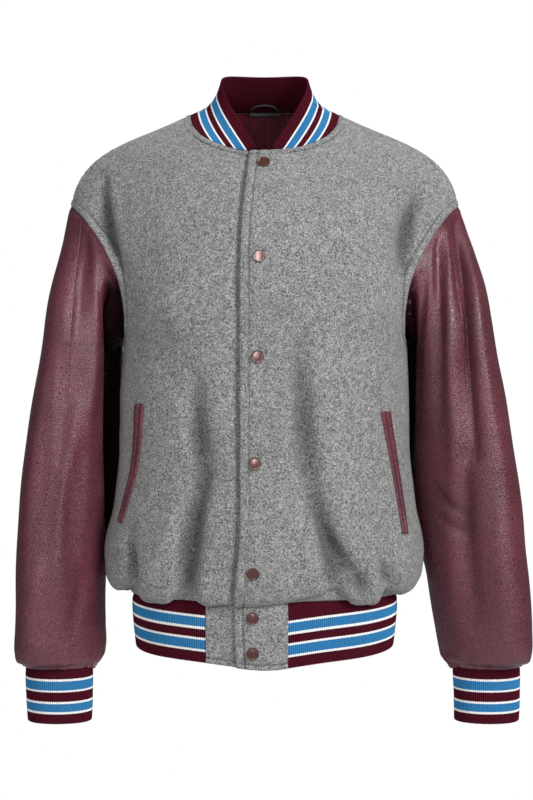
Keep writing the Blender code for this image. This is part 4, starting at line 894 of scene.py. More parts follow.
def sleeve(side, settings):
    """Upper and under panel of a sleeve, in the wearer's left half."""
    key = ("sleeve", side)
    if key in CACHE:
        return CACHE[key]
    _, loop_turns, v = armhole_loop()
    half = len(v) // 2
    seam_turn = float(np.interp(-V_SEAM_FRONT, -v[:half + 1], loop_turns[:half + 1]))
    back_turn = float(np.interp(V_SEAM_BACK, v[half:], loop_turns[half:]))
    full = 2 * math.pi
    near = EDGE_STEPS[1:-1] / 70
    behind = np.concatenate([[back_turn], back_turn + near,
                             np.linspace(back_turn + near[-1], full, 72)[1:-1]])
    ahead = np.concatenate([np.linspace(0, seam_turn - near[-1] / 2, 42), seam_turn - near[::-1][1:] / 2,
                            [seam_turn]])
    under = np.concatenate([[seam_turn], seam_turn + near / 1.3,
                            np.linspace(seam_turn + near[-1] / 1.3, back_turn - near[-1], 82)[1:-1],
                            back_turn - near[::-1], [back_turn]])
    turns = np.concatenate([ahead, under[1:], behind[1:]])
    grid = sleeve_grid(side, turns, seam_turn, back_turn)
    count = len(turns)
    middle = grid.mean(0, keepdims=True)
    normals = outward(grid_normals(grid, True), grid, middle)
    armhole_gap = gap_to(grid, np.vstack([grid[:, 0], grid[:1, 0]]))
    cuff_gap = np.linalg.norm(np.diff(grid[:, ::-1], axis=1), axis=2).cumsum(1)
    cuff_gap = np.concatenate([np.zeros((count, 1)), cuff_gap], 1)[:, ::-1]
    sign = 1 if side == "left" else -1
    height = np.zeros(grid.shape[:-1])
    for row in SLEEVE_FOLDS[side]:
        fold = dict(zip(SLEEVE_FOLD_ROW, row))
        facing = ease(0.5 + 1.2 * normals[..., 1] * fold["facing"])
        height -= crease(grid[..., 0], grid[..., 2], fold) * facing
    world = grid * np.array([sign, 1.0, 1.0])
    reach, width, deep = CREVICE[side]
    inward = ease((reach - grid[..., 0]) / width) * ease(0.5 - 1.2 * normals[..., 1])
    high, low = span(grid[..., 2], *CREVICE_SPAN)
    height -= deep * inward * high * low
    rear = np.exp(-((grid[..., 1] - REAR_SWELL_Y) / REAR_SWELL_WIDTH)**2) * ease(-1.6 * normals[..., 0])
    high, low = span(grid[..., 2], *REAR_SPAN)
    height += REAR_SWELL * rear * high * low
    height += 1.1 * wave(world, 130.0, 21 + sign) + 0.5 * wave(world * [1.0, 1.0, 0.35], 34.0, 31 + sign)
    height *= ease(armhole_gap / 14) * ease(cuff_gap / 30)
    angle = np.degrees(turns)[:, None]
    for row in GATHERS[side]:
        fold = dict(zip(GATHER_ROW, row))
        off = (angle - fold["turn"] + 180) % 360 - 180
        pull = np.exp(-(off / fold["width"])**2) - 0.35 * np.exp(-((np.abs(off) - 2.2 * fold["width"])
                                                                    / fold["width"])**2)
        height -= fold["depth"] * pull * np.exp(-(cuff_gap / fold["reach"])**2) * ease(cuff_gap / 5)
    # Painted shade on the leather close to the body, stored as the panels' shade field
    high, low = span(grid[..., 2], *SHADE_SPAN)
    painted_gap_shade = ease((reach + 2.0 - grid[..., 0]) / 9.0) * high * low
    relief = -1.5 * ease(1 - armhole_gap / 6.0)
    wall_points = grid + normals * height[..., None]
    wall = outward(grid_normals(wall_points, True), grid, middle)
    share = ease(1 - armhole_gap / 26.0)[..., None]
    wall = unit(wall * (1 - share) + unit(grid - np.array(ARMHOLE_MIDDLE)) * share)
    low = unit(grid - np.array([*CUFF_CENTRE[side], 0.0]) * [1, 1, 0] - np.array([0, 0, 1.0]) * grid[..., 2:])
    low[..., 2] = SEAM_DIP
    share = ease(1 - cuff_gap / 10.0)[..., None]
    wall = unit(wall * (1 - share) + unit(low) * share)
    inner = wall_points + normals * relief[..., None] - wall * (settings.leather / MM)
    panels = {}
    start = len(ahead) - 1
    end = start + len(under) - 1
    for name, pick in (("under", np.arange(start, end + 1)),
                       ("upper", np.arange(end, start + count + 1) % count)):
        part = wall_points[pick]
        run = np.linalg.norm(np.diff(part, axis=0), axis=2).cumsum(0)
        run = np.concatenate([np.zeros((1, part.shape[1])), run])
        first, last = run, run[-1] - run
        near_gap = np.minimum(first, last)
        fading = 1 - 0.85 * ease((-290.0 - part[..., 2]) / 130.0)
        lift = relief[pick] - fading * bead(near_gap, 0.3) - bead(cuff_gap[pick], 1.4)
        front_gap = last if name == "upper" else first
        if name == "upper":
            lift = lift + 0.4 * fading * np.exp(-((front_gap - 1.6) / 1.3)**2)
        else:
            lift = lift - 0.25 * fading * np.exp(-(front_gap / 3.0)**2)
        outer = part + normals[pick] * lift[..., None]
        fine = grid_normals(outer)
        if np.sum(fine * normals[pick]) < 0:
            fine = -fine
        panels[name] = Panel(outer, fine, inner[pick], np.minimum(np.abs(front_gap - 1.8), NO_STITCH),
                             {"cuff": cuff_gap[pick], "shade": painted_gap_shade[pick]})
    CACHE[key] = (panels, grid[:, -1])
    return CACHE[key]


# ---------------------------------------------------------------- meshes

def grid_quads(index):
    """Quads between neighbours of a grid of point numbers."""
    return np.stack([index[:-1, :-1], index[1:, :-1], index[1:, 1:], index[:-1, 1:]], -1).reshape(-1, 4)


def signed_volume(points, faces):
    """Sum over a fan of triangles of each face of the corner products, a sixth of it."""
    total = 0.0
    for face in faces:
        face = np.asarray(face)
        for n in range(1, face.shape[-1] - 1):
            a, b, c = (points[face[..., m]] for m in (0, n, n + 1))
            total += float(np.sum(a * np.cross(b, c)))
    return total


def new_mesh(name, points, quads, rims, materials, slots=None, uv=None, fields=None, sharp=None):
    """Mesh object in metres from points in millimetres, faces turned outwards, with UVs and point fields."""
    volume = signed_volume(points, [quads, *rims])
    faces = quads.tolist() + [list(map(int, rim)) for rim in rims]
    if volume < 0:
        faces = [face[::-1] for face in faces]
    mesh = bpy.data.meshes.new(name)
    mesh.from_pydata((points * MM).tolist(), [], faces)
    for material in materials:
        mesh.materials.append(material)
    if slots is not None:
        picks = np.zeros(len(faces), np.int32)
        picks[:len(slots)] = slots
        mesh.polygons.foreach_set("material_index", picks)
    corners = np.empty(len(mesh.loops), np.int32)
    mesh.loops.foreach_get("vertex_index", corners)
    if uv is not None:
        layer = mesh.uv_layers.new(name="cloth")
        layer.data.foreach_set("uv", (uv[corners] * MM).ravel())
    for field, values in (fields or {}).items():
        mesh.attributes.new(field, "FLOAT", "POINT").data.foreach_set("value", np.asarray(values, np.float32))
    mesh.shade_smooth()
    if sharp is not None:
        mesh.set_sharp_from_angle(angle=math.radians(sharp))
    mesh.update()
    thing = bpy.data.objects.new(name, mesh)
    bpy.context.scene.collection.objects.link(thing)
    return thing


def wall_mesh(name, panel, materials, flip=False, step=4):
    """Closed wall: the fine outer grid, a sparser inner one, and a rim whose faces span both."""
    outer, inner = panel.grid, panel.inner
    if flip:
        outer, inner = mirrored(outer), mirrored(inner)
    nu, nv = outer.shape[:2]
    ku = np.unique(np.append(np.arange(0, nu, step), nu - 1))
    kv = np.unique(np.append(np.arange(0, nv, step), nv - 1))
    index = np.arange(nu * nv).reshape(nu, nv)
    jndex = nu * nv + np.arange(len(ku) * len(kv)).reshape(len(ku), len(kv))
    quads = grid_quads(index)
    inside = grid_quads(jndex)[:, ::-1]
    rims = []
    for n in range(len(ku) - 1):
        run = index[ku[n]:ku[n + 1] + 1]
        rims.append([*run[::-1, 0], jndex[n, 0], jndex[n + 1, 0]])
        rims.append([*run[:, -1], jndex[n + 1, -1], jndex[n, -1]])
    for n in range(len(kv) - 1):
        run = index[:, kv[n]:kv[n + 1] + 1]
        rims.append([*run[0], jndex[0, n + 1], jndex[0, n]])
        rims.append([*run[-1, ::-1], jndex[-1, n], jndex[-1, n + 1]])
    points = np.vstack([outer.reshape(-1, 3), inner[np.ix_(ku, kv)].reshape(-1, 3)])
    across = np.linalg.norm(np.diff(outer, axis=0), axis=2).cumsum(0)
    up = np.linalg.norm(np.diff(outer, axis=1), axis=2).cumsum(1)
    uv = np.zeros((nu, nv, 2))
    uv[1:, :, 0] = across
    uv[:, 1:, 1] = up
    uv = np.vstack([uv.reshape(-1, 2), uv[np.ix_(ku, kv)].reshape(-1, 2)])
    stitch = np.concatenate([panel.stitch.ravel(), np.full(len(ku) * len(kv), NO_STITCH)])
    # Painted shade, carried as a point field by which the materials darken their colour
    shade = np.zeros(len(points))
    if "shade" in panel.lines:
        shade[:nu * nv] = panel.lines["shade"].ravel()
    slots = np.zeros(len(quads) + len(inside), np.int32)
    slots[len(quads):] = 1
    return new_mesh(name, points, np.vstack([quads, inside]), rims, materials, slots=slots, uv=uv,
                    fields={"stitch": stitch, "shade": shade}, sharp=70)


def section_mesh(name, points, uv, materials, wrap):
    """Closed solid of a section carried along a line: the grid closes across, and along if wrapped."""
    nu, nv = points.shape[:2]
    index = np.arange(nu * nv).reshape(nu, nv)
    index = np.concatenate([index, index[:, :1]], 1)
    rims = [] if wrap else [list(index[0, :-1]), list(index[-1, :-1][::-1])]
    if wrap:
        index = np.concatenate([index, index[:1]])
    quads = grid_quads(index)
    return new_mesh(name, points.reshape(-1, 3), quads, rims, materials, uv=uv.reshape(-1, 2),
                    sharp=None if wrap else 75)


def settle(thing, node_names=()):
    """Hooks a finished piece to the frame's root body and hides the nodes it stands for."""
    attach(thing, "root")
    if node_names:
        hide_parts(*node_names)
    return thing


# ---------------------------------------------------------------- knit

def knit_section(face, free_normals, thick, relief, share_rows, inner_rows, foot_dip):
    """Folded knit as a closed section: up the outer face, round the folded edge and down the inner face.

    face(share) gives the outer points and normals of all columns at a share of the height. The fold is a half
    circle of the cloth's thickness. Ribs stand up from the section by the relief of each column.
    """
    radius = thick / 2
    height = np.linalg.norm(face(1.0)[0] - face(0.0)[0], axis=1)
    rows, uvs = [], []
    top_share = 1 - radius / np.maximum(height, 1.0)
    for share in share_rows:
        s = share * top_share
        points, normal = face(s)
        dip = foot_dip * ease(1 - s * height / 6.0)
        rows.append(points + normal * (relief - dip)[:, None])
        uvs.append(height - s * height)
    for turn in np.linspace(0, math.pi, 9)[1:-1]:
        s = top_share + (radius / np.maximum(height, 1.0)) * math.sin(turn)
        points, normal = face(s)
        outward_way = normal * math.cos(turn) + free_normals * math.sin(turn)
        rows.append(points - normal * (radius * (1 - math.cos(turn))) + outward_way * relief[:, None])
        uvs.append(radius * (1 - turn * 2 / math.pi) + 0 * height)
    for share in inner_rows:
        s = share * top_share
        points, normal = face(s)
        rows.append(points - normal * (thick + relief)[:, None])
        uvs.append(-(height - s * height))
    return np.stack(rows, 1), np.stack(uvs, 1)


def rib_columns(run, closed):
    """Columns of points along a knit piece of that length, four to a rib: how many, and their rib numbers."""
    ribs = int(round(run / (sizes().rib_pitch / MM)))
    count = 4 * ribs + (0 if closed else 1)
    return count, np.arange(count) * (ribs / (4 * ribs))


def knit_piece(name, face, free_normals, number, rows, foot_dip, material, closed=False, flip=False):
    """Folded rib knit piece; its UVs are the place along the ribs and the distance from the fold."""
    relief = np.cos(2 * np.pi * number) * (sizes().rib_depth / MM) / 2
    outside, inside = rows
    points, away = knit_section(face, free_normals, sizes().knit / MM, relief, np.linspace(0, 1, outside),
                                np.linspace(1, 0, inside), foot_dip)
    along_ribs = np.broadcast_to(number[:, None] * (sizes().rib_pitch / MM), away.shape)
    return section_mesh(name, mirrored(points) if flip else points, np.stack([along_ribs, away], -1),
                        [material], closed)


# ---------------------------------------------------------------- materials

class Graph:
    """Short way to write a node tree: add(kind, inputs, **settings) returns the node."""

    def __init__(self, tree):
        self.tree = tree

    def add(self, kind, inputs=None, **settings):
        made = self.tree.nodes.new(kind)
        for name, value in settings.items():
            setattr(made, name, value)
        for name, value in (inputs or {}).items():
            socket = made.inputs[name]
            if isinstance(value, bpy.types.NodeSocket):
                self.tree.links.new(value, socket)
            else:
                socket.default_value = value
        return made

    def math(self, operation, a, b=0.0, clamp=False):
        return self.add("ShaderNodeMath", {0: a, 1: b}, operation=operation, use_clamp=clamp).outputs[0]

    def ramp(self, value, low, high, to_low=0.0, to_high=1.0):
        made = self.add("ShaderNodeMapRange", {"Value": value, "From Min": low, "From Max": high,
                                               "To Min": to_low, "To Max": to_high},
                        interpolation_type="SMOOTHSTEP")
        return made.outputs["Result"]

    def mix(self, share, a, b, blend="MIX"):
        made = self.add("ShaderNodeMix", data_type="RGBA", blend_type=blend)
        for socket, value in ((made.inputs[0], share), (made.inputs[6], a), (made.inputs[7], b)):
            if isinstance(value, bpy.types.NodeSocket):
                self.tree.links.new(value, socket)
            else:
                socket.default_value = value
        return made.outputs[2]

    def use(self, tree, inputs=None):
        """Node of a shader group."""
        return self.add("ShaderNodeGroup", inputs, node_tree=tree)

    def uneven(self, scale, low, high):
        """Broad uneven tone between two values."""
        return self.use(swell_group(), {"Scale": scale, "Low": low, "High": high}).outputs["Value"]

    def field(self, name):
        """Value that the mesh carries at its points."""
        return self.add("ShaderNodeAttribute", attribute_name=name, attribute_type="GEOMETRY").outputs["Fac"]

    def place(self):
        return self.add("ShaderNodeTexCoord").outputs["Object"]

    def paint(self, shader, base, shade):
        """Base colour: a colour multiplied by a shade."""
        grey = self.add("ShaderNodeCombineColor", {0: shade, 1: shade, 2: shade}).outputs[0]
        self.tree.links.new(self.mix(1.0, base, grey, "MULTIPLY"), shader.inputs["Base Color"])

    def bump(self, shader, height, strength, distance):
        """Fine relief of the finish."""
        made = self.add("ShaderNodeBump", {"Height": height, "Strength": strength, "Distance": distance})
        self.tree.links.new(made.outputs[0], shader.inputs["Normal"])


def group(name, inputs, outputs, fill):
    """Shader node group with named sockets, made once."""
    if name in bpy.data.node_groups:
        return bpy.data.node_groups[name]
    tree = bpy.data.node_groups.new(name, "ShaderNodeTree")
    for title, kind, value in inputs:
        socket = tree.interface.new_socket(title, in_out="INPUT", socket_type=kind)
        if value is not None:
            socket.default_value = value
    for title, kind in outputs:
        tree.interface.new_socket(title, in_out="OUTPUT", socket_type=kind)
    graph = Graph(tree)
    entry = tree.nodes.new("NodeGroupInput")
    leave = tree.nodes.new("NodeGroupOutput")
    for title, socket in fill(graph, entry.outputs).items():
        tree.links.new(socket, leave.inputs[title])
    return tree


def fibre_group():
    """Curled short fibres: the thin bands where a distorted noise crosses its middle value."""
    def fill(graph, entry):
        place = graph.place()
        shifted = graph.add("ShaderNodeVectorMath", {0: place, 1: entry["Offset"]},
                            operation="ADD").outputs[0]
        noise = graph.add("ShaderNodeTexNoise", {"Vector": shifted, "Scale": entry["Scale"],
                                                 "Detail": 1.5, "Roughness": 0.5, "Distortion": 1.1})
        off = graph.math("ABSOLUTE", graph.math("SUBTRACT", noise.outputs["Fac"], 0.5))
        return {"Mask": graph.ramp(off, 0.0, entry["Width"], 1.0, 0.0)}
    return group("Curled fibres", (("Scale", "NodeSocketFloat", 300.0), ("Width", "NodeSocketFloat", 0.05),
                                   ("Offset", "NodeSocketVector", None)),
                 (("Mask", "NodeSocketFloat"),), fill)


def grain_group():
    """Pebbled grain: smooth cells over a finer noise, as height and as a pore mask."""
    def fill(graph, entry):
        place = graph.place()
        bend = graph.add("ShaderNodeTexNoise", {"Vector": place, "Scale": 260.0, "Detail": 2.0})
        moved = graph.add("ShaderNodeVectorMath", {0: bend.outputs["Color"], "Scale": 0.0012},
                          operation="SCALE")
        where = graph.add("ShaderNodeVectorMath", {0: place, 1: moved.outputs[0]}, operation="ADD").outputs[0]
        cells = graph.add("ShaderNodeTexVoronoi", {"Vector": where, "Scale": entry["Scale"]}, feature="F1")
        fine = graph.add("ShaderNodeTexNoise", {"Vector": where, "Scale": 1500.0, "Detail": 2.0})
        dome = graph.ramp(cells.outputs["Distance"], 0.15, 0.75, 1.0, 0.0)
        height = graph.math("ADD", dome, graph.math("MULTIPLY", fine.outputs["Fac"], 0.5))
        return {"Height": height, "Pores": graph.ramp(cells.outputs["Distance"], 0.45, 0.8)}
    return group("Pebbled grain", (("Scale", "NodeSocketFloat", 800.0),),
                 (("Height", "NodeSocketFloat"), ("Pores", "NodeSocketFloat")), fill)


def swell_group():
    """Broad uneven tone: a soft noise between two values."""
    def fill(graph, entry):
        place = graph.place()
        noise = graph.add("ShaderNodeTexNoise", {"Vector": place, "Scale": entry["Scale"], "Detail": 2.0})
        return {"Value": graph.ramp(noise.outputs["Fac"], 0.3, 0.7, entry["Low"], entry["High"])}
    return group("Uneven tone", (("Scale", "NodeSocketFloat", 20.0), ("Low", "NodeSocketFloat", 0.0),
                                 ("High", "NodeSocketFloat", 1.0)), (("Value", "NodeSocketFloat"),), fill)


def new_material(name):
    """Material with its shader and a graph to write in."""
    material = bpy.data.materials.get(name)
    if material is not None:
        return material, None, None
    material = bpy.data.materials.new(name)
    material.use_nodes = True
    graph = Graph(material.node_tree)
    return material, graph, material.node_tree.nodes["Principled BSDF"]


def finish(shader, values):
    """Even values of a finish, on the shader's own sockets."""
    for name, value in values.items():
        shader.inputs[name].default_value = value


def rgba(value):
    return (value[0], value[1], value[2], 1.0)


def shaded(value, share):
    return tuple(share * c for c in value)


def wool_material(colours):
    """Heather melton: curled light and dark fibres on grey; painted shade along the pressed-in topstitching
    and in creases.
    """
    material, graph, shader = new_material("Heather wool")
    if graph is None:
        return material
    light = graph.use(fibre_group(), {"Scale": 260.0, "Width": 0.055}).outputs["Mask"]
    dark = graph.use(fibre_group(), {"Scale": 235.0, "Width": 0.06,
                                     "Offset": (0.7, 5.3, 2.2)}).outputs["Mask"]
    fleck = graph.uneven(500.0, 0.0, 1.0)
    speck = graph.uneven(880.0, 0.0, 1.0)
    tone = graph.uneven(120.0, 0.87, 1.11)
    broad = graph.uneven(9.0, 0.95, 1.04)
    blend = graph.math("ADD", graph.math("MULTIPLY", fleck, 0.62), graph.math("MULTIPLY", speck, 0.38))
    base = graph.mix(graph.ramp(blend, 0.12, 0.62), rgba(colours.wool_dark), rgba(colours.wool))
    base = graph.mix(graph.ramp(blend, 0.58, 1.0, 0.0, 0.6), base, rgba(colours.wool_light))
    base = graph.mix(graph.math("MULTIPLY", dark, 0.45), base, rgba(colours.wool_dark))
    base = graph.mix(graph.math("MULTIPLY", light, 0.32), base, rgba(colours.wool_light))
    stitch = graph.field("stitch")
    # Painted shade in the valley along the topstitching
    line = graph.ramp(stitch, 0.3, 2.1, 0.45, 1.0)
    # Painted shade in the creases, read from the mesh's shade field
    deep = graph.field("shade")
    line = graph.math("MULTIPLY", line, graph.ramp(deep, 0.1, 1.0, 1.0, 0.42))
    shade = graph.math("MULTIPLY", graph.math("MULTIPLY", tone, broad), line)
    graph.paint(shader, base, shade)
    height = graph.math("ADD", graph.math("MULTIPLY", light, 0.6), graph.math("MULTIPLY", dark, -0.5))
    height = graph.math("ADD", height, blend)
    graph.bump(shader, height, 0.55, 0.0006)
    finish(shader, {"Roughness": 0.95, "Specular IOR Level": 0.2, "Sheen Weight": 0.25,
                    "Sheen Roughness": 0.5})
    return material


def leather_material(colours):
    """Pebbled leather with a satin finish, a little lighter on the grain's tops, with painted shade and a
    weaker highlight beside the body.
    """
    material, graph, shader = new_material("Pebbled leather")
    if graph is None:
        return material
    grain = graph.use(grain_group(), {"Scale": 640.0})
    tone = graph.uneven(14.0, 0.86, 1.12)
    spots = graph.uneven(420.0, 0.8, 1.25)
    # Painted shade where the sleeve turns in beside the body: colour darkened and specular highlight taken
    # away
    deep = graph.field("shade")
    graph.tree.links.new(graph.ramp(deep, 0.0, 1.0, 0.55, 0.06), shader.inputs["Specular IOR Level"])
    shade = graph.math("MULTIPLY", graph.math("MULTIPLY", tone, spots), graph.ramp(deep, 0.0, 1.0, 1.0, 0.12))
    dark = shaded(colours.leather, 0.55)
    base = graph.mix(graph.math("MULTIPLY", grain.outputs["Pores"], 0.7), rgba(colours.leather), rgba(dark))
    graph.paint(shader, base, shade)
    rough = graph.ramp(spots, 0.8, 1.25, 0.24, 0.36)
    graph.tree.links.new(rough, shader.inputs["Roughness"])
    graph.bump(shader, grain.outputs["Height"], 0.6, 0.0004)
    return material


def knit_material(name, stripes, colours, pitch):
    """Rib knit: stripes by the distance from the folded edge, with painted shade in the grooves and small
    stitches between ribs.

    The second UV value is that distance, below zero inside; the first one runs along the ribs.
    """
    material, graph, shader = new_material(name)
    if graph is None:
        return material
    uv = graph.add("ShaderNodeUVMap", uv_map="cloth").outputs[0]
    split = graph.add("ShaderNodeSeparateXYZ", {0: uv})
    ribs = graph.math("DIVIDE", split.outputs[0], pitch)
    swing = graph.math("COSINE", graph.math("MULTIPLY", ribs, 2 * math.pi))
    jag = graph.math("MULTIPLY", graph.math("PINGPONG", ribs, 0.5), 0.0009)
    run = graph.math("ADD", split.outputs[1], jag)
    total = sum(width for width, _ in stripes) * MM
    ramp = graph.add("ShaderNodeValToRGB", {0: graph.math("DIVIDE", run, total)})
    ramp.color_ramp.interpolation = "CONSTANT"
    tones = {"body": colours.body, "stripe": colours.stripe, "line": colours.line}
    elements = ramp.color_ramp.elements
    at = 0.0
    for n, (width, kind) in enumerate(stripes):
        share = at / (total / MM)
        element = elements[n] if n < 2 else elements.new(share)
        element.position = share
        element.color = rgba(tones[kind])
        at += width
    rows = graph.math("SINE", graph.math("MULTIPLY", graph.math("ADD", split.outputs[1],
                      graph.math("MULTIPLY", swing, 0.0004)), 2 * math.pi / 0.0016))
    # Painted shade: darker in the grooves between the ribs
    painted_groove_shade = graph.ramp(swing, -1.0, 0.0, 0.6, 1.0)
    place = graph.place()
    fuzz = graph.add("ShaderNodeTexNoise", {"Vector": place, "Scale": 900.0, "Detail": 2.0}).outputs["Fac"]
    shade = graph.math("MULTIPLY", painted_groove_shade, graph.ramp(fuzz, 0.3, 0.7, 0.88, 1.1))
    shade = graph.math("MULTIPLY", shade, graph.ramp(rows, -1.0, 1.0, 0.9, 1.05))
    graph.paint(shader, ramp.outputs[0], shade)
    height = graph.math("ADD", graph.math("MULTIPLY", swing, 0.5), graph.math("MULTIPLY", rows, 0.25))
    graph.bump(shader, height, 0.35, 0.0005)
    finish(shader, {"Roughness": 0.9, "Specular IOR Level": 0.08})
    return material


def plain_material(name, base, rough, specular=0.5, low=0.85, high=1.15, scale=60.0, bump_size=0.0):
    """Simple finish with an uneven tone and, if asked for, a fine surface."""
    material, graph, shader = new_material(name)
    if graph is None:
        return material
    tone = graph.uneven(scale, low, high)
    graph.paint(shader, rgba(base), tone)
    finish(shader, {"Roughness": rough, "Specular IOR Level": specular})
    if bump_size:
        place = graph.place()
        fine = graph.add("ShaderNodeTexNoise", {"Vector": place, "Scale": 1.0 / bump_size, "Detail": 2.0})
        graph.bump(shader, fine.outputs["Fac"], 0.4, bump_size * 0.4)
    return material


def snap_material(colours):
    """Enamelled cap: brown-red face, with painted shade darkening the rim."""
    material, graph, shader = new_material("Snap enamel")
    if graph is None:
        return material
    # Painted shade on the rim and on the skirt beneath it
    rim = graph.field("rim")
    share = graph.ramp(rim, 0.84, 0.99)
    dark = shaded(colours.enamel, 0.22)
    base = graph.mix(share, rgba(colours.enamel), rgba(dark))
    graph.tree.links.new(base, shader.inputs["Base Color"])
    tone = graph.uneven(300.0, 0.20, 0.28)
    graph.tree.links.new(tone, shader.inputs["Roughness"])
    finish(shader, {"Metallic": 0.35, "Coat Weight": 0.5, "Coat Roughness": 0.15})
    return material


# ---------------------------------------------------------------- pieces

def level_line(panel, gap, level, rows):
    """Line on a panel where a seam distance reaches a level, found once in every column or row."""
    grid, normals = panel.grid, panel.normals
    if not rows:
        grid, normals, gap = grid.transpose(1, 0, 2), normals.transpose(1, 0, 2), gap.T
    points, ways = [], []
    for line, way, values in zip(grid, normals, gap):
        cross = np.flatnonzero((values[:-1] - level) * (values[1:] - level) <= 0)
        if len(cross):
            k = cross[-1]
            f = (level - values[k]) / (values[k + 1] - values[k] + 1e-9)
            points.append(line[k] * (1 - f) + line[k + 1] * f)
            ways.append(way[k])
    return np.array(points), np.array(ways)


def thread_points(points, normals, pitch, radius):
    """Short stitches along a line: each a six-sided bow whose ends dip under the cloth."""
    reach = reach_of(points)
    count = int(reach[-1] / pitch)
    centres = (np.arange(count) + 0.5) * pitch
    shares = np.array([-0.40, -0.24, 0.0, 0.24, 0.40])
    lifts = np.array([-0.5, 0.55, 0.75, 0.55, -0.5]) * radius
    sizes = np.array([0.6, 1.0, 1.05, 1.0, 0.6]) * radius
    at = centres[:, None] + shares[None] * pitch
    spine = np.stack([np.interp(at, reach, points[:, i]) for i in range(3)], -1)
    way = unit(np.stack([np.interp(at, reach, normals[:, i]) for i in range(3)], -1))
    spine = spine + way * lifts[None, :, None]
    run = unit(np.gradient(spine, axis=1))
    side = unit(np.cross(way, run))
    turn = np.linspace(0, 2 * math.pi, 6, endpoint=False)
    ring = np.cos(turn)[:, None] * side[:, :, None] + np.sin(turn)[:, None] * way[:, :, None]
    return spine[:, :, None] + ring * sizes[None, :, None, None]


def stitch_mesh(name, lines, material, flip=False, radius=None):
    """All stitches of a piece as one mesh of small closed bows."""
    pitch = sizes().stitch_pitch / MM
    radius = radius or sizes().thread / MM
    blocks = [thread_points(points, normals, pitch, radius) for points, normals in lines if len(points) > 3]
    points = np.concatenate(blocks)
    if flip:
        points = mirrored(points)
    count = len(points)
    index = np.arange(count * 30).reshape(count, 5, 6)
    around = np.roll(index, -1, axis=2)
    quads = np.stack([index[:, :-1], index[:, 1:], around[:, 1:], around[:, :-1]], -1).reshape(-1, 4)
    caps = np.concatenate([index[:, 0], index[:, -1, ::-1]])
    return new_mesh(name, points.reshape(-1, 3), quads, caps.tolist(), [material])


class JACKET_OT_fronts(bpy.types.Operator):
    """Two wool fronts that lap at the closure, with their topstitching"""
    bl_idname = "jacket.fronts"
    bl_label = "Fronts"

    def execute(self, context):
        wool, satin = wool_material(colours()), satin_material()
        thread = grey_thread()
        for side in ("left", "right"):
            flip = side == "right"
            panel = front(side, sizes())
            thing = wall_mesh("wool_front_" + side, panel, [wool, satin], flip, 2)
            lines = [level_line(panel, panel.lines["neck"], STITCH_NECK, True),
                     level_line(panel, panel.lines["armhole"], STITCH_ARMHOLE, False)]
            if side == "left":
                lines.append(first_level(panel, STITCH_LAP))
            sewn = stitch_mesh("topstitch_front_" + side, lines, thread, flip)
            settle(sewn)
            settle(thing, ["front_" + side])
        return {"FINISHED"}


def first_level(panel, level):
    """Line at a distance from the lap edge, one point a row."""
    gap = panel.lines["lap"]
    points, ways = [], []
    for k in range(panel.grid.shape[1]):
        i = int(np.argmax(gap[:60, k] > level))
        f = (level - gap[i - 1, k]) / (gap[i, k] - gap[i - 1, k])
        points.append(panel.grid[i - 1, k] * (1 - f) + panel.grid[i, k] * f)
        ways.append(panel.normals[i, k])
    return np.array(points[:-4]), np.array(ways[:-4])


def grey_thread():
    return plain_material("Grey thread", colours().thread, 0.8)


def satin_material():
    return plain_material("Maroon satin", colours().satin, 0.38, low=0.8, high=1.3, scale=24.0)


class JACKET_OT_back(bpy.types.Operator):
    """One-piece wool back with gathers over the hem"""
    bl_idname = "jacket.back"
    bl_label = "Back"

    def execute(self, context):
        wool, satin = wool_material(colours()), satin_material()
        thread = grey_thread()
        left, right = back_half(1, sizes()), back_half(-1, sizes())
        whole = Panel(*(joined(getattr(left, name), getattr(right, name))
                        for name in ("grid", "normals", "inner", "stitch")), {})
        middle = left.grid.shape[0] - 1
        for name in ("grid", "inner"):
            getattr(whole, name)[middle] = (getattr(left, name)[0] + mirrored(getattr(right, name)[0])) / 2
        thing = wall_mesh("wool_back", whole, [wool, satin], step=2)
        lines = []
        for part, flip in ((left, False), (right, True)):
            for name, level, rows in (("neck", STITCH_NECK, True), ("armhole", STITCH_ARMHOLE, False)):
                points, ways = level_line(part, part.lines[name], level, rows)
                lines.append((mirrored(points), mirrored(ways)) if flip else (points, ways))
        sewn = stitch_mesh("topstitch_back", lines, thread)
        settle(sewn)
        settle(thing, ["back"])
        return {"FINISHED"}


class JACKET_OT_sleeves(bpy.types.Operator):
    """Four leather sleeve panels, bloused over the cuffs"""
    bl_idname = "jacket.sleeves"
    bl_label = "Sleeves"

    def execute(self, context):
        leather, satin = leather_material(colours()), satin_material()
        for side in ("left", "right"):
            panels = sleeve(side, sizes())[0]
            for name, panel in panels.items():
                thing = wall_mesh(f"leather_sleeve_{side}_{name}", panel, [leather, satin], side == "right")
                settle(thing, [f"sleeve_{side}_{name}"])
        return {"FINISHED"}


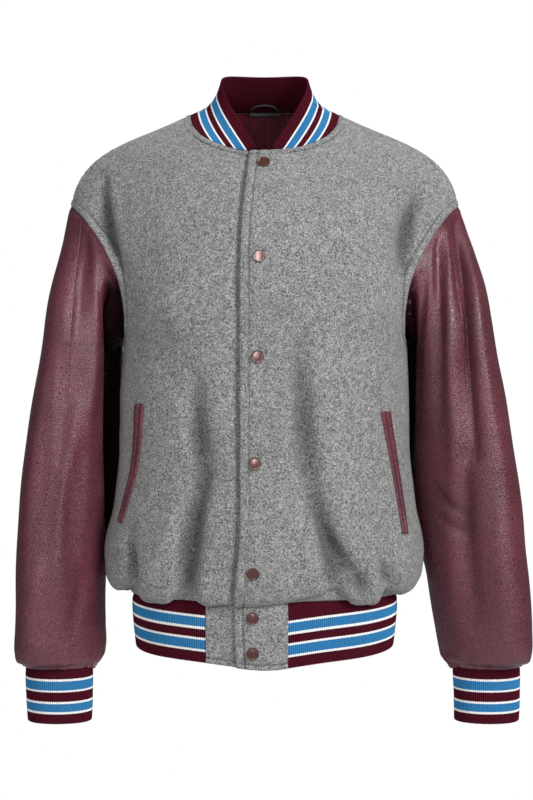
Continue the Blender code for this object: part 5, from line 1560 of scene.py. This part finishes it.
class JACKET_OT_cuffs(bpy.types.Operator):
    """Two striped rib knit cuffs"""
    bl_idname = "jacket.cuffs"
    bl_label = "Cuffs"

    def execute(self, context):
        knit = knit_material("Striped rib cuff", CUFF_STRIPES, colours(), sizes().rib_pitch)
        for side in ("left", "right"):
            seam = sleeve(side, sizes())[1]
            ring_seam = np.vstack([seam, seam[:1]])
            count, number = rib_columns(reach_of(ring_seam)[-1], True)
            shares = np.arange(count) / count
            top = along(ring_seam, shares)
            turns = shares * 2 * math.pi
            centre = np.array([*CUFF_CENTRE[side], 0.0])
            z_top, z_low = CUFF[0][0], CUFF[-1][0]

            def face(share):
                share = np.broadcast_to(share, (count,))
                z = z_top - KNIT_SEAM + (z_low - z_top + KNIT_SEAM) * share
                width = lookup(CUFF, CUFF_ROW, "z", "width", z)
                depth = lookup(CUFF, CUFF_ROW, "z", "depth", z)
                ring = np.stack([centre[0] + width * np.cos(turns), centre[1] - depth * np.sin(turns), z],
                                -1)
                blend = ease(1 - share * 6)[:, None]
                points = ring * (1 - blend) + (top + (z - z_top)[:, None] * np.array([0, 0, 1.0])) * blend
                level = unit((points - centre) * [1, 1, 0])
                points = points + 0.7 * wave(points, 60.0, 41)[:, None] * level
                return points, unit((points - centre) * [1, 1, 0])

            thing = knit_piece("knit_cuff_" + side, face, np.tile(DOWN, (count, 1)), number, (24, 10), 1.2,
                               knit, True, side == "right")
            settle(thing, ["cuff_" + side])
        return {"FINISHED"}


def band_ring(z, t):
    """Points of the hem band's oval at each height; t runs from 0 in front over the left side round to 4."""
    z = np.broadcast_to(np.asarray(z, float), np.shape(t))
    width, ahead, behind = (lookup(BAND, BAND_ROW, "z", name, z) for name in BAND_ROW[1:])
    t = np.asarray(t, float) % 4
    from_front = np.where(t > 2, 4 - t, t)
    is_front = from_front <= 1
    depth = np.where(is_front, -ahead, behind)
    share = np.where(is_front, from_front, 2 - from_front)
    zero = np.zeros_like(depth)
    middle = np.stack([zero, depth, z], -1)
    side = np.stack([width, zero + BAND_SIDE_Y, z], -1)
    reach = np.stack([BAND_ROUND * width, zero, zero], -1)
    bulge = side + np.stack([zero, BAND_SIDE_ROUND * depth, zero], -1)
    ring = cubic(middle, middle + reach, bulge, side, share)
    ring[..., 0] *= np.where(t > 2, -1.0, 1.0)
    down = (BAND[0][0] - z) / (BAND[0][0] - BAND[-1][0])
    sag = BAND_SAG + TAB_SAG * np.exp(-(ring[..., 0] / TAB_SAG_REACH)**2)
    ring[..., 2] -= sag * down * np.clip(-ring[..., 1] / ahead, 0.0, 1.0)
    return ring


def band_normal(points):
    width, ahead = BAND[0][1], BAND[0][2]
    return unit(points * np.array([1 / width**2, 1 / ahead**2, 0.0]))


def band_t(x, z):
    """Where on the front of the band a place x lies."""
    t = np.linspace(-0.6, 0.6, 241)
    return float(np.interp(x, band_ring(np.full(241, float(z)), t)[:, 0], t))


class JACKET_OT_hem(bpy.types.Operator):
    """Striped rib knit hem with two wool tabs at the closure"""
    bl_idname = "jacket.hem"
    bl_label = "Hem"

    def execute(self, context):
        knit = knit_material("Striped rib hem", HEM_STRIPES, colours(), sizes().rib_pitch)
        z_top, z_low = BAND[0][0], BAND[-1][0]
        middle = (z_top + z_low) / 2

        def line(z):
            """Dense line of the band at a height, from one tab round the back to the other."""
            ends = band_t(TAB_LEFT_END + KNIT_SEAM, z), 4 + band_t(TAB_RIGHT_END - KNIT_SEAM, z)
            return band_ring(np.full(BAND_SAMPLES, z), np.linspace(*ends, BAND_SAMPLES))

        count, number = rib_columns(reach_of(line(middle))[-1], False)
        levels = np.linspace(0, 1, 15)
        heights = z_top - KNIT_SEAM + (z_low - z_top + KNIT_SEAM) * levels
        table = np.array([along(line(z), np.linspace(0, 1, count)) for z in heights])

        def face(share):
            share = np.broadcast_to(share, (count,))
            at = share * (len(levels) - 1)
            k = np.minimum(at.astype(int), len(levels) - 2)
            f = (at - k)[:, None]
            column = np.arange(count)
            points = table[k, column] * (1 - f) + table[k + 1, column] * f
            normal = band_normal(points)
            swell = 1.5 * wave(points * [1, 1, 0.5], 120.0, 51) * ease(share * 3) * ease((number / 5))
            return points + normal * (swell * ease((number[-1] - number) / 5))[:, None], normal

        thing = knit_piece("knit_hem", face, np.tile(DOWN, (count, 1)), number, (26, 7), 1.4, knit)
        settle(thing, ["hem_rib"])
        wool, satin = wool_material(colours()), satin_material()
        thread = grey_thread()
        for side in ("left", "right"):
            panel = hem_tab(side)
            thing = wall_mesh("wool_hem_tab_" + side, panel, [wool, satin], step=3)
            lines = [first_low(panel, STITCH_HEM)]
            if side == "left":
                lines.append(column_level(panel, STITCH_LAP))
            sewn = stitch_mesh("topstitch_hem_" + side, lines, thread)
            settle(sewn)
            settle(thing, ["hem_tab_" + side])
        return {"FINISHED"}


def hem_tab(side):
    """Wool tab of the hem on one side: columns along the hem, rows from the waist seam down."""
    left = side == "left"
    down = np.concatenate([[0, 0.5, 1.2, 2.2, 3.5], np.linspace(5, 60, 32), [61.5, 62.8, 63.8, 64.5, 65.0]])
    z = BAND[0][0] - down
    u = spread(34, 66)
    grid = []
    for level in z:
        first, last = (float(lap_edge(level)), TAB_LEFT_END) if left else (TAB_RIGHT_END, UNDERLAP_REACH)
        t = band_t(first, level) + (band_t(last, level) - band_t(first, level)) * u
        grid.append(band_ring(np.full(len(u), level), t))
    grid = np.stack(grid, 1)
    normals = band_normal(grid)
    edge = gap_to(grid, grid[0] if left else grid[-1])
    other = gap_to(grid, grid[-1] if left else grid[0])
    bottom = gap_to(grid, grid[:, -1])
    top = gap_to(grid, grid[:, 0])
    height = lap_rise(grid[..., 0], grid[..., 2], left) + 0.9 * wave(grid, 48.0, 61 + left) * ease(top / 14)
    relief = seam_relief(bottom, STITCH_HEM) - bead(other, 1.2) - bead(top, 1.2)
    stitch = np.abs(bottom - STITCH_HEM)
    if left:
        relief = relief + seam_relief(edge, STITCH_LAP)
        stitch = np.minimum(stitch, np.abs(edge - STITCH_LAP))
    outer = grid + normals * (height + relief)[..., None]
    inner = grid + normals * (height - sizes().wool / MM)[..., None]
    return Panel(outer, outward(grid_normals(outer), grid, HEM_MIDDLE), inner, stitch,
                 {"bottom": bottom, "lap": edge})


def first_low(panel, level):
    """Line at a distance above the hem tab's lower edge."""
    gap = panel.lines["bottom"]
    k = np.array([int(np.flatnonzero(column > level)[-1]) for column in gap])
    i = np.arange(len(gap))
    f = (gap[i, k] - level) / (gap[i, k] - gap[i, k + 1])
    points = panel.grid[i, k] * (1 - f)[:, None] + panel.grid[i, k + 1] * f[:, None]
    return points, panel.normals[i, k]


def column_level(panel, level):
    """Line at a distance from the hem tab's lap edge."""
    gap = panel.lines["lap"]
    i = np.array([int(np.argmax(row > level)) for row in gap.T])
    k = np.arange(gap.shape[1])
    f = (level - gap[i - 1, k]) / (gap[i, k] - gap[i - 1, k])
    points = panel.grid[i - 1, k] * (1 - f)[:, None] + panel.grid[i, k] * f[:, None]
    keep = panel.lines["bottom"][i, k] > STITCH_HEM
    return points[keep], panel.normals[i, k][keep]


class JACKET_OT_collar(bpy.types.Operator):
    """Striped rib knit collar, wide behind and narrow at its two ends"""
    bl_idname = "jacket.collar"
    bl_label = "Collar"

    def execute(self, context):
        knit = knit_material("Striped rib collar", COLLAR_STRIPES, colours(), sizes().rib_pitch)
        end = math.degrees(math.asin(COLLAR_END_X / NECK_HALF_WIDTH)) - 90
        half = neckline(np.linspace(end, 90, 600))
        ahead = (half[:, 1] < NECK_CENTRE_Y)[:, None]
        left_foot = half + neck_normal(half) * lap_rise(half[:, 0], half[:, 2], True)[:, None] * ahead
        right_foot = mirrored(half)
        right_foot = right_foot + neck_normal(right_foot) * lap_rise(right_foot[:, 0], right_foot[:, 2],
                                                                     False)[:, None] * ahead
        seam = np.vstack([right_foot, left_foot[::-1][1:]])
        count, number = rib_columns(reach_of(seam)[-1], False)
        foot = along(seam, np.linspace(0, 1, count))
        low, side, behind = (np.array(place)
                             for place in (COLLAR_TOP_FRONT, COLLAR_TOP_SIDE, COLLAR_TOP_BACK))
        steps = np.linspace(0, 1, 200)
        rise = cubic(low, low + COLLAR_FRONT_HANDLE, side + COLLAR_SIDE_HANDLES[0], side, steps)
        round_back = cubic(side, side + COLLAR_SIDE_HANDLES[1], behind + COLLAR_BACK_HANDLE, behind, steps)
        curve = np.vstack([rise, round_back[1:]])
        free = along(np.vstack([mirrored(curve), curve[::-1][1:]]), np.linspace(0, 1, count))
        lean = unit(free - foot)
        turning = unit(np.gradient(foot, axis=0))
        free_normal = unit(np.cross(turning, lean))
        foot_normal = neck_normal(foot.copy())
        if np.sum(free_normal * foot_normal) < 0:
            free_normal = -free_normal
        width = np.linalg.norm(free - foot, axis=1, keepdims=True)
        foot = foot + unit(lean - turning * np.sum(lean * turning, axis=1, keepdims=True)) * KNIT_SEAM

        def face(share):
            share = np.broadcast_to(share, (count,))[:, None]
            hollow = COLLAR_HOLLOW * np.clip(width / COLLAR_WIDE, 0, 1) * np.sin(np.pi * share)
            normal = unit(foot_normal * (1 - share) + free_normal * share)
            points = foot + (free - foot) * share - free_normal * hollow
            swell = 0.8 * wave(points, 90.0, 71)[:, None] * np.sin(np.pi * share)
            return points + normal * swell, normal

        thing = knit_piece("knit_collar", face, lean, number, (28, 18), 1.3, knit)
        settle(thing, ["collar"])
        return {"FINISHED"}


class JACKET_OT_pockets(bpy.types.Operator):
    """Double leather welts of the two slanting pockets"""
    bl_idname = "jacket.pockets"
    bl_label = "Pockets"

    def execute(self, context):
        leather = leather_material(colours())
        thread = plain_material("Maroon thread", shaded(colours().leather, 0.6), 0.7)
        for side, table in POCKETS.items():
            panel = front(side, sizes())
            z = np.linspace(table[-1][0] - 5.0, table[0][0] + 2.5, WELT_POINTS)
            x = lookup(table, POCKET_ROW, "z", "x", z)
            turn = np.linspace(0, math.pi, 11)
            lines = []
            for edge, near in (("front", -(WELT_SPLIT + WELT_WIDTH)), ("side", WELT_SPLIT)):
                grow = np.linspace(WELT_SHARE_LOW, WELT_SHARE_HIGH, WELT_POINTS)
                middle = (near + WELT_WIDTH / 2) * grow
                centre, normal = place_on(panel, x + middle * WELT_TURN, z)
                run = unit(np.gradient(centre, axis=0))
                across = unit(np.cross(run, normal))
                if across[:, 0].mean() < 0:
                    across = -across
                past = (np.abs(np.linspace(-1, 1, WELT_POINTS)) - 0.98) / 0.04
                taper = np.sqrt(1 - np.clip(past, 0, 1)**2)
                half = (WELT_WIDTH / 2) * np.clip(taper, 0.35, 1.0) * grow
                side_way = -np.cos(turn)[None, :, None] * half[:, None, None] * across[:, None]
                arch = (np.sin(turn)**0.9)[None, :, None] * WELT_HEIGHT \
                    * np.clip(taper, 0.4, 1)[:, None, None]
                points = centre[:, None] + side_way + (arch + 0.25) * normal[:, None]
                flat = centre[:, None] + (-np.cos(turn[::-1]))[None, :, None] * half[:, None, None] \
                    * across[:, None] + 0.1 * normal[:, None]
                points = np.concatenate([points, flat[:, 1:-1]], 1)
                uv = np.zeros(points.shape[:2] + (2,))
                uv[..., 1] = reach_of(centre)[:, None]
                if side == "right":
                    points = mirrored(points)
                thing = section_mesh(f"welt_{side}_{edge}", points, uv, [leather], False)
                settle(thing, [f"pocket_{side}_welt_{edge}"])
                outer_edge = -1 if edge == "front" else 1
                spot = centre + across * outer_edge * WELT_STITCH + normal * WELT_HEIGHT
                lines.append((spot, normal))
            sewn = stitch_mesh("welt_stitch_" + side, lines, thread, side == "right", WELT_THREAD)
            settle(sewn)
        return {"FINISHED"}


class JACKET_OT_snaps(bpy.types.Operator):
    """Seven domed snap caps down the lap"""
    bl_idname = "jacket.snaps"
    bl_label = "Snaps"

    def execute(self, context):
        enamel = snap_material(colours())
        panel = front("left", sizes())
        radius, tall = sizes().snap_radius / MM, sizes().snap_height / MM
        profile = np.array(SNAP_PROFILE)
        for number, z in enumerate(SNAP_HEIGHTS, 1):
            x = float(lookup(LAP, LAP_ROW, "z", "snap_x", np.array(float(z))))
            if z > BAND[0][0]:
                point, normal = (item[0] for item in place_on(panel, [x], [z]))
            else:
                base = band_ring(np.array([float(z)]), np.array([band_t(x, z)]))[0]
                normal = band_normal(base)
                point = base + normal * LAP_RISE
            normal = unit(unit(normal) + np.array([0.0, -1.0, 0.0]))
            sideways = unit(np.cross([0.0, 0.0, 1.0], normal))
            upwards = np.cross(normal, sideways)
            turn = np.linspace(0, 2 * math.pi, SNAP_POINTS, endpoint=False)
            ring = np.cos(turn)[:, None] * sideways + np.sin(turn)[:, None] * upwards
            rows = profile[1:]
            points = point + ring[:, None] * (rows[:, 0] * radius)[None, :, None] \
                + normal * (rows[:, 1] * tall + SNAP_LIFT)[None, :, None]
            index = np.arange(points.shape[0] * points.shape[1]).reshape(points.shape[:2])
            index = np.concatenate([index, index[:1]])
            flat = points.reshape(-1, 3)
            top = len(flat)
            flat = np.vstack([flat, point + normal * (profile[0, 1] * tall + SNAP_LIFT)])
            rims = [[index[j, 0], index[j + 1, 0], top] for j in range(SNAP_POINTS)]
            rims.append(list(index[:-1, -1][::-1]))
            # Share out to the rim, with the skirt beneath it counted as rim: where the enamel paints shade
            share = np.append(np.tile(rows[:, 0] + (rows[:, 1] < 0.7) * 0.2, SNAP_POINTS), 0.0)
            thing = new_mesh(f"snap_cap_{number}", flat, grid_quads(index)[:, ::-1], rims, [enamel],
                             fields={"rim": share}, sharp=60)
            settle(thing, [f"snap_{number}"])
        return {"FINISHED"}


class JACKET_OT_inside(bpy.types.Operator):
    """Satin lining, neck tape and hanging loop inside the back neck"""
    bl_idname = "jacket.inside"
    bl_label = "Inside neck"

    def execute(self, context):
        satin = satin_material()
        tape = plain_material("Charcoal tape", colours().tape, 0.85, low=0.7, high=1.5, scale=500.0,
                              bump_size=0.0009)
        halves = {}
        xs = np.linspace(0, LINING_HALF_WIDTH, 16)
        shares = np.linspace(0, 1, 14)
        for sign in (1, -1):
            panel = back_half(sign, sizes())
            seam = neckline(np.degrees(np.arccos(xs / NECK_HALF_WIDTH)))[:, 2] - LINING_TOP_GAP
            low = -LINING_DROP
            z = seam[:, None] + (low - seam)[:, None] * (1 - shares)[None]
            x = np.broadcast_to(xs[:, None], z.shape)
            points, normals = place_on(panel, x.ravel(), z.ravel())
            halves[sign] = (points.reshape(16, 14, 3), normals.reshape(16, 14, 3))
        points, normals = (joined(halves[1][n], halves[-1][n]) for n in (0, 1))
        knots = np.linspace(-1, 1, len(points))
        fine_u, fine_v = np.linspace(-1, 1, 181), np.linspace(0, 1, 81)
        points = smooth(knots, points, fine_u).transpose(1, 0, 2)
        points = smooth(shares, points, fine_v).transpose(1, 0, 2)
        normals = smooth(knots, normals, fine_u).transpose(1, 0, 2)
        normals = unit(smooth(shares, normals, fine_v).transpose(1, 0, 2))
        open_share = LINING_FOLD_TOP + (1 - LINING_FOLD_TOP) * (1 - fine_v)
        swing = np.sin(fine_u * LINING_FOLDS * math.pi + 0.6 * np.sin(fine_u * 9.0))
        gather = LINING_FOLD_DEPTH * (1 + swing)[:, None] * open_share[None]
        small = 0.35 * (1 + np.sin(fine_u * 61.0 + 2.0 * np.sin(fine_u * 17.0)))[:, None] * fine_v[None]**2
        wall = sizes().wool / MM
        outer = points - normals * (wall + LINING_CLEAR + gather + small)[..., None]
        inner = outer - normals * (sizes().satin / MM)
        lining = Panel(inner, -normals, outer, np.full(outer.shape[:2], NO_STITCH), {})
        thing = wall_mesh("satin_lining", lining, [satin, satin])
        binding = self.tape(tape)
        loop = self.loop(tape)
        settle(binding, ["neck_tape"])
        settle(loop, ["hanging_loop"])
        settle(thing, ["back_lining"])
        return {"FINISHED"}

    def tape(self, material):
        """Tape along the neck seam, its section a flat rounded strip."""
        x = np.linspace(-TAPE_HALF_WIDTH, TAPE_HALF_WIDTH, 61)
        seam = neckline(90.0 - np.degrees(np.arcsin(x / NECK_HALF_WIDTH)))
        turn = np.linspace(0, 2 * math.pi, TAPE_POINTS, endpoint=False)
        up = np.sign(np.sin(turn)) * np.abs(np.sin(turn))**0.5 * TAPE_HEIGHT / 2
        deep = np.sign(np.cos(turn)) * np.abs(np.cos(turn))**0.5 * TAPE_THICK / 2
        middle = seam + np.array([0.0, -TAPE_INSIDE - TAPE_THICK / 2, -TAPE_BELOW - TAPE_HEIGHT / 2])
        points = middle[:, None] + deep[None, :, None] * np.array([0, 1.0, 0]) + up[None, :, None] \
            * np.array([0, 0, 1.0])
        return section_mesh("neck_binding", points, np.zeros(points.shape[:2] + (2,)), [material], False)

    def loop(self, material):
        """Twisted cord bowed up from the tape: two strands make the radius swell twice a turn."""
        inside = TAPE_INSIDE + TAPE_THICK + LOOP_RADIUS + LOOP_CLEAR
        foot = neckline(np.array(90.0)) - np.array([0.0, inside, TAPE_BELOW])
        run = np.linspace(0, math.pi, LOOP_POINTS)
        rise = np.sin(run)**LOOP_BOW
        spine = foot + np.stack([-LOOP_HALF_WIDTH * np.cos(run), -LOOP_LEAN * rise, LOOP_RISE * rise], -1)
        spine = along(spine, np.linspace(0, 1, LOOP_POINTS))
        way = unit(np.gradient(spine, axis=0))
        side = unit(np.cross(way, [0.0, -LOOP_RISE, -LOOP_LEAN]))
        up = np.cross(side, way)
        turn = np.linspace(0, 2 * math.pi, TAPE_POINTS, endpoint=False)
        twist = reach_of(spine)[:, None] * (2 * math.pi / LOOP_TWIST)
        radius = LOOP_RADIUS * (0.86 + 0.14 * np.cos(2 * (turn[None] - twist)))
        points = spine[:, None] + radius[..., None] * (np.cos(turn)[None, :, None] * side[:, None]
                                                        + np.sin(turn)[None, :, None] * up[:, None])
        return section_mesh("hanger_cord", points, np.zeros(points.shape[:2] + (2,)), [material], False)


class JACKET_OT_stage(bpy.types.Operator):
    """Pale floor, soft studio light and the camera"""
    bl_idname = "jacket.stage"
    bl_label = "Studio"

    def execute(self, context):
        scene = context.scene
        stage = scene.jacket_stage
        turn = np.linspace(0, 2 * math.pi, 96, endpoint=False)
        points = np.stack([np.cos(turn) * 2500, np.sin(turn) * 2500, np.full(96, stage.floor / MM)], -1)
        mesh = bpy.data.meshes.new("floor")
        mesh.from_pydata((points * MM).tolist(), [], [list(range(96))])
        floor = bpy.data.objects.new("floor", mesh)
        scene.collection.objects.link(floor)
        pale = plain_material("Pale floor", (0.86, 0.86, 0.86), 0.7, 0.2, 0.98, 1.0, 3.0)
        mesh.materials.append(pale)
        aim = np.array([0.0, 0.0, -0.34])
        lamps = (
            ("key", (1.9, -2.3, 1.1), 1.2, 1.6, stage.key),
            ("front", (-0.25, -3.1, 0.35), 0.3, 1.8, stage.front),
            ("fill", (-2.3, -1.6, 0.2), 1.0, 1.9, stage.fill),
            ("top", (0.0, 0.3, 2.0), 1.8, 1.4, stage.top),
            ("rear", (0.0, 2.6, 0.5), 2.0, 1.6, stage.fill),
        )
        for name, place, wide, tall, power in lamps:
            data = bpy.data.lights.new(name, "AREA")
            data.shape = "RECTANGLE"
            data.size, data.size_y = wide, tall
            data.energy = power
            lamp = bpy.data.objects.new(name, data)
            way = unit(aim - np.array(place))
            lamp.location = place
            lamp.rotation_euler = direction(way)
            scene.collection.objects.link(lamp)
        world = bpy.data.worlds.new("room")
        scene.world = world
        world.use_nodes = True
        graph = Graph(world.node_tree)
        world.node_tree.nodes.clear()
        seen = graph.add("ShaderNodeBackground", {"Color": (1, 1, 1, 1), "Strength": 1.0})
        glow = graph.add("ShaderNodeBackground", {"Color": (1, 1, 1, 1), "Strength": stage.ambient})
        path = graph.add("ShaderNodeLightPath")
        both = graph.add("ShaderNodeMixShader", {0: path.outputs["Is Camera Ray"], 1: glow.outputs[0],
                                                 2: seen.outputs[0]})
        graph.add("ShaderNodeOutputWorld", {"Surface": both.outputs[0]})
        scene.view_settings.view_transform = "Standard"
        scene.view_settings.look = "None"
        scene.view_settings.exposure = 0.0
        camera_data = bpy.data.cameras.new("camera")
        camera_data.sensor_fit = "VERTICAL"
        camera_data.sensor_height = 36.0
        camera_data.lens = stage.lens
        camera = bpy.data.objects.new("camera", camera_data)
        camera.location = (0.0023, -stage.distance, stage.eye)
        camera.rotation_euler = (math.pi / 2, 0.0, 0.0)
        scene.collection.objects.link(camera)
        scene.camera = camera
        return {"FINISHED"}


def direction(way):
    """Rotation that points an object's -Z along a direction."""
    pitch = math.acos(-way[2])
    yaw = math.atan2(way[1], way[0]) - math.pi / 2
    return (pitch, 0.0, yaw)


class JACKET_PT_build(bpy.types.Panel):
    """Buttons and settings of the jacket"""
    bl_label = "Varsity Jacket"
    bl_space_type = "VIEW_3D"
    bl_region_type = "UI"
    bl_category = "Jacket"

    def draw(self, context):
        for operator in OPERATORS:
            self.layout.operator(operator.bl_idname)
        for group_name in ("jacket_sizes", "jacket_colours", "jacket_stage"):
            settings = getattr(context.scene, group_name)
            box = self.layout.box()
            for name in settings.__annotations__:
                box.prop(settings, name)


OPERATORS = (JACKET_OT_fronts, JACKET_OT_back, JACKET_OT_sleeves, JACKET_OT_cuffs, JACKET_OT_hem,
             JACKET_OT_collar, JACKET_OT_pockets, JACKET_OT_snaps, JACKET_OT_inside, JACKET_OT_stage)
CLASSES = (JacketSizes, JacketColours, JacketStage) + OPERATORS + (JACKET_PT_build,)


def register():
    for item in CLASSES:
        bpy.utils.register_class(item)
    bpy.types.Scene.jacket_sizes = PointerProperty(type=JacketSizes)
    bpy.types.Scene.jacket_colours = PointerProperty(type=JacketColours)
    bpy.types.Scene.jacket_stage = PointerProperty(type=JacketStage)


def unregister():
    del bpy.types.Scene.jacket_sizes
    del bpy.types.Scene.jacket_colours
    del bpy.types.Scene.jacket_stage
    for item in reversed(CLASSES):
        bpy.utils.unregister_class(item)


def main():
    register()
    bpy.ops.jacket.fronts()
    bpy.ops.jacket.back()
    bpy.ops.jacket.sleeves()
    bpy.ops.jacket.cuffs()
    bpy.ops.jacket.hem()
    bpy.ops.jacket.collar()
    bpy.ops.jacket.pockets()
    bpy.ops.jacket.snaps()
    bpy.ops.jacket.inside()
    bpy.ops.jacket.stage()


if __name__ == "__main__":
    main()
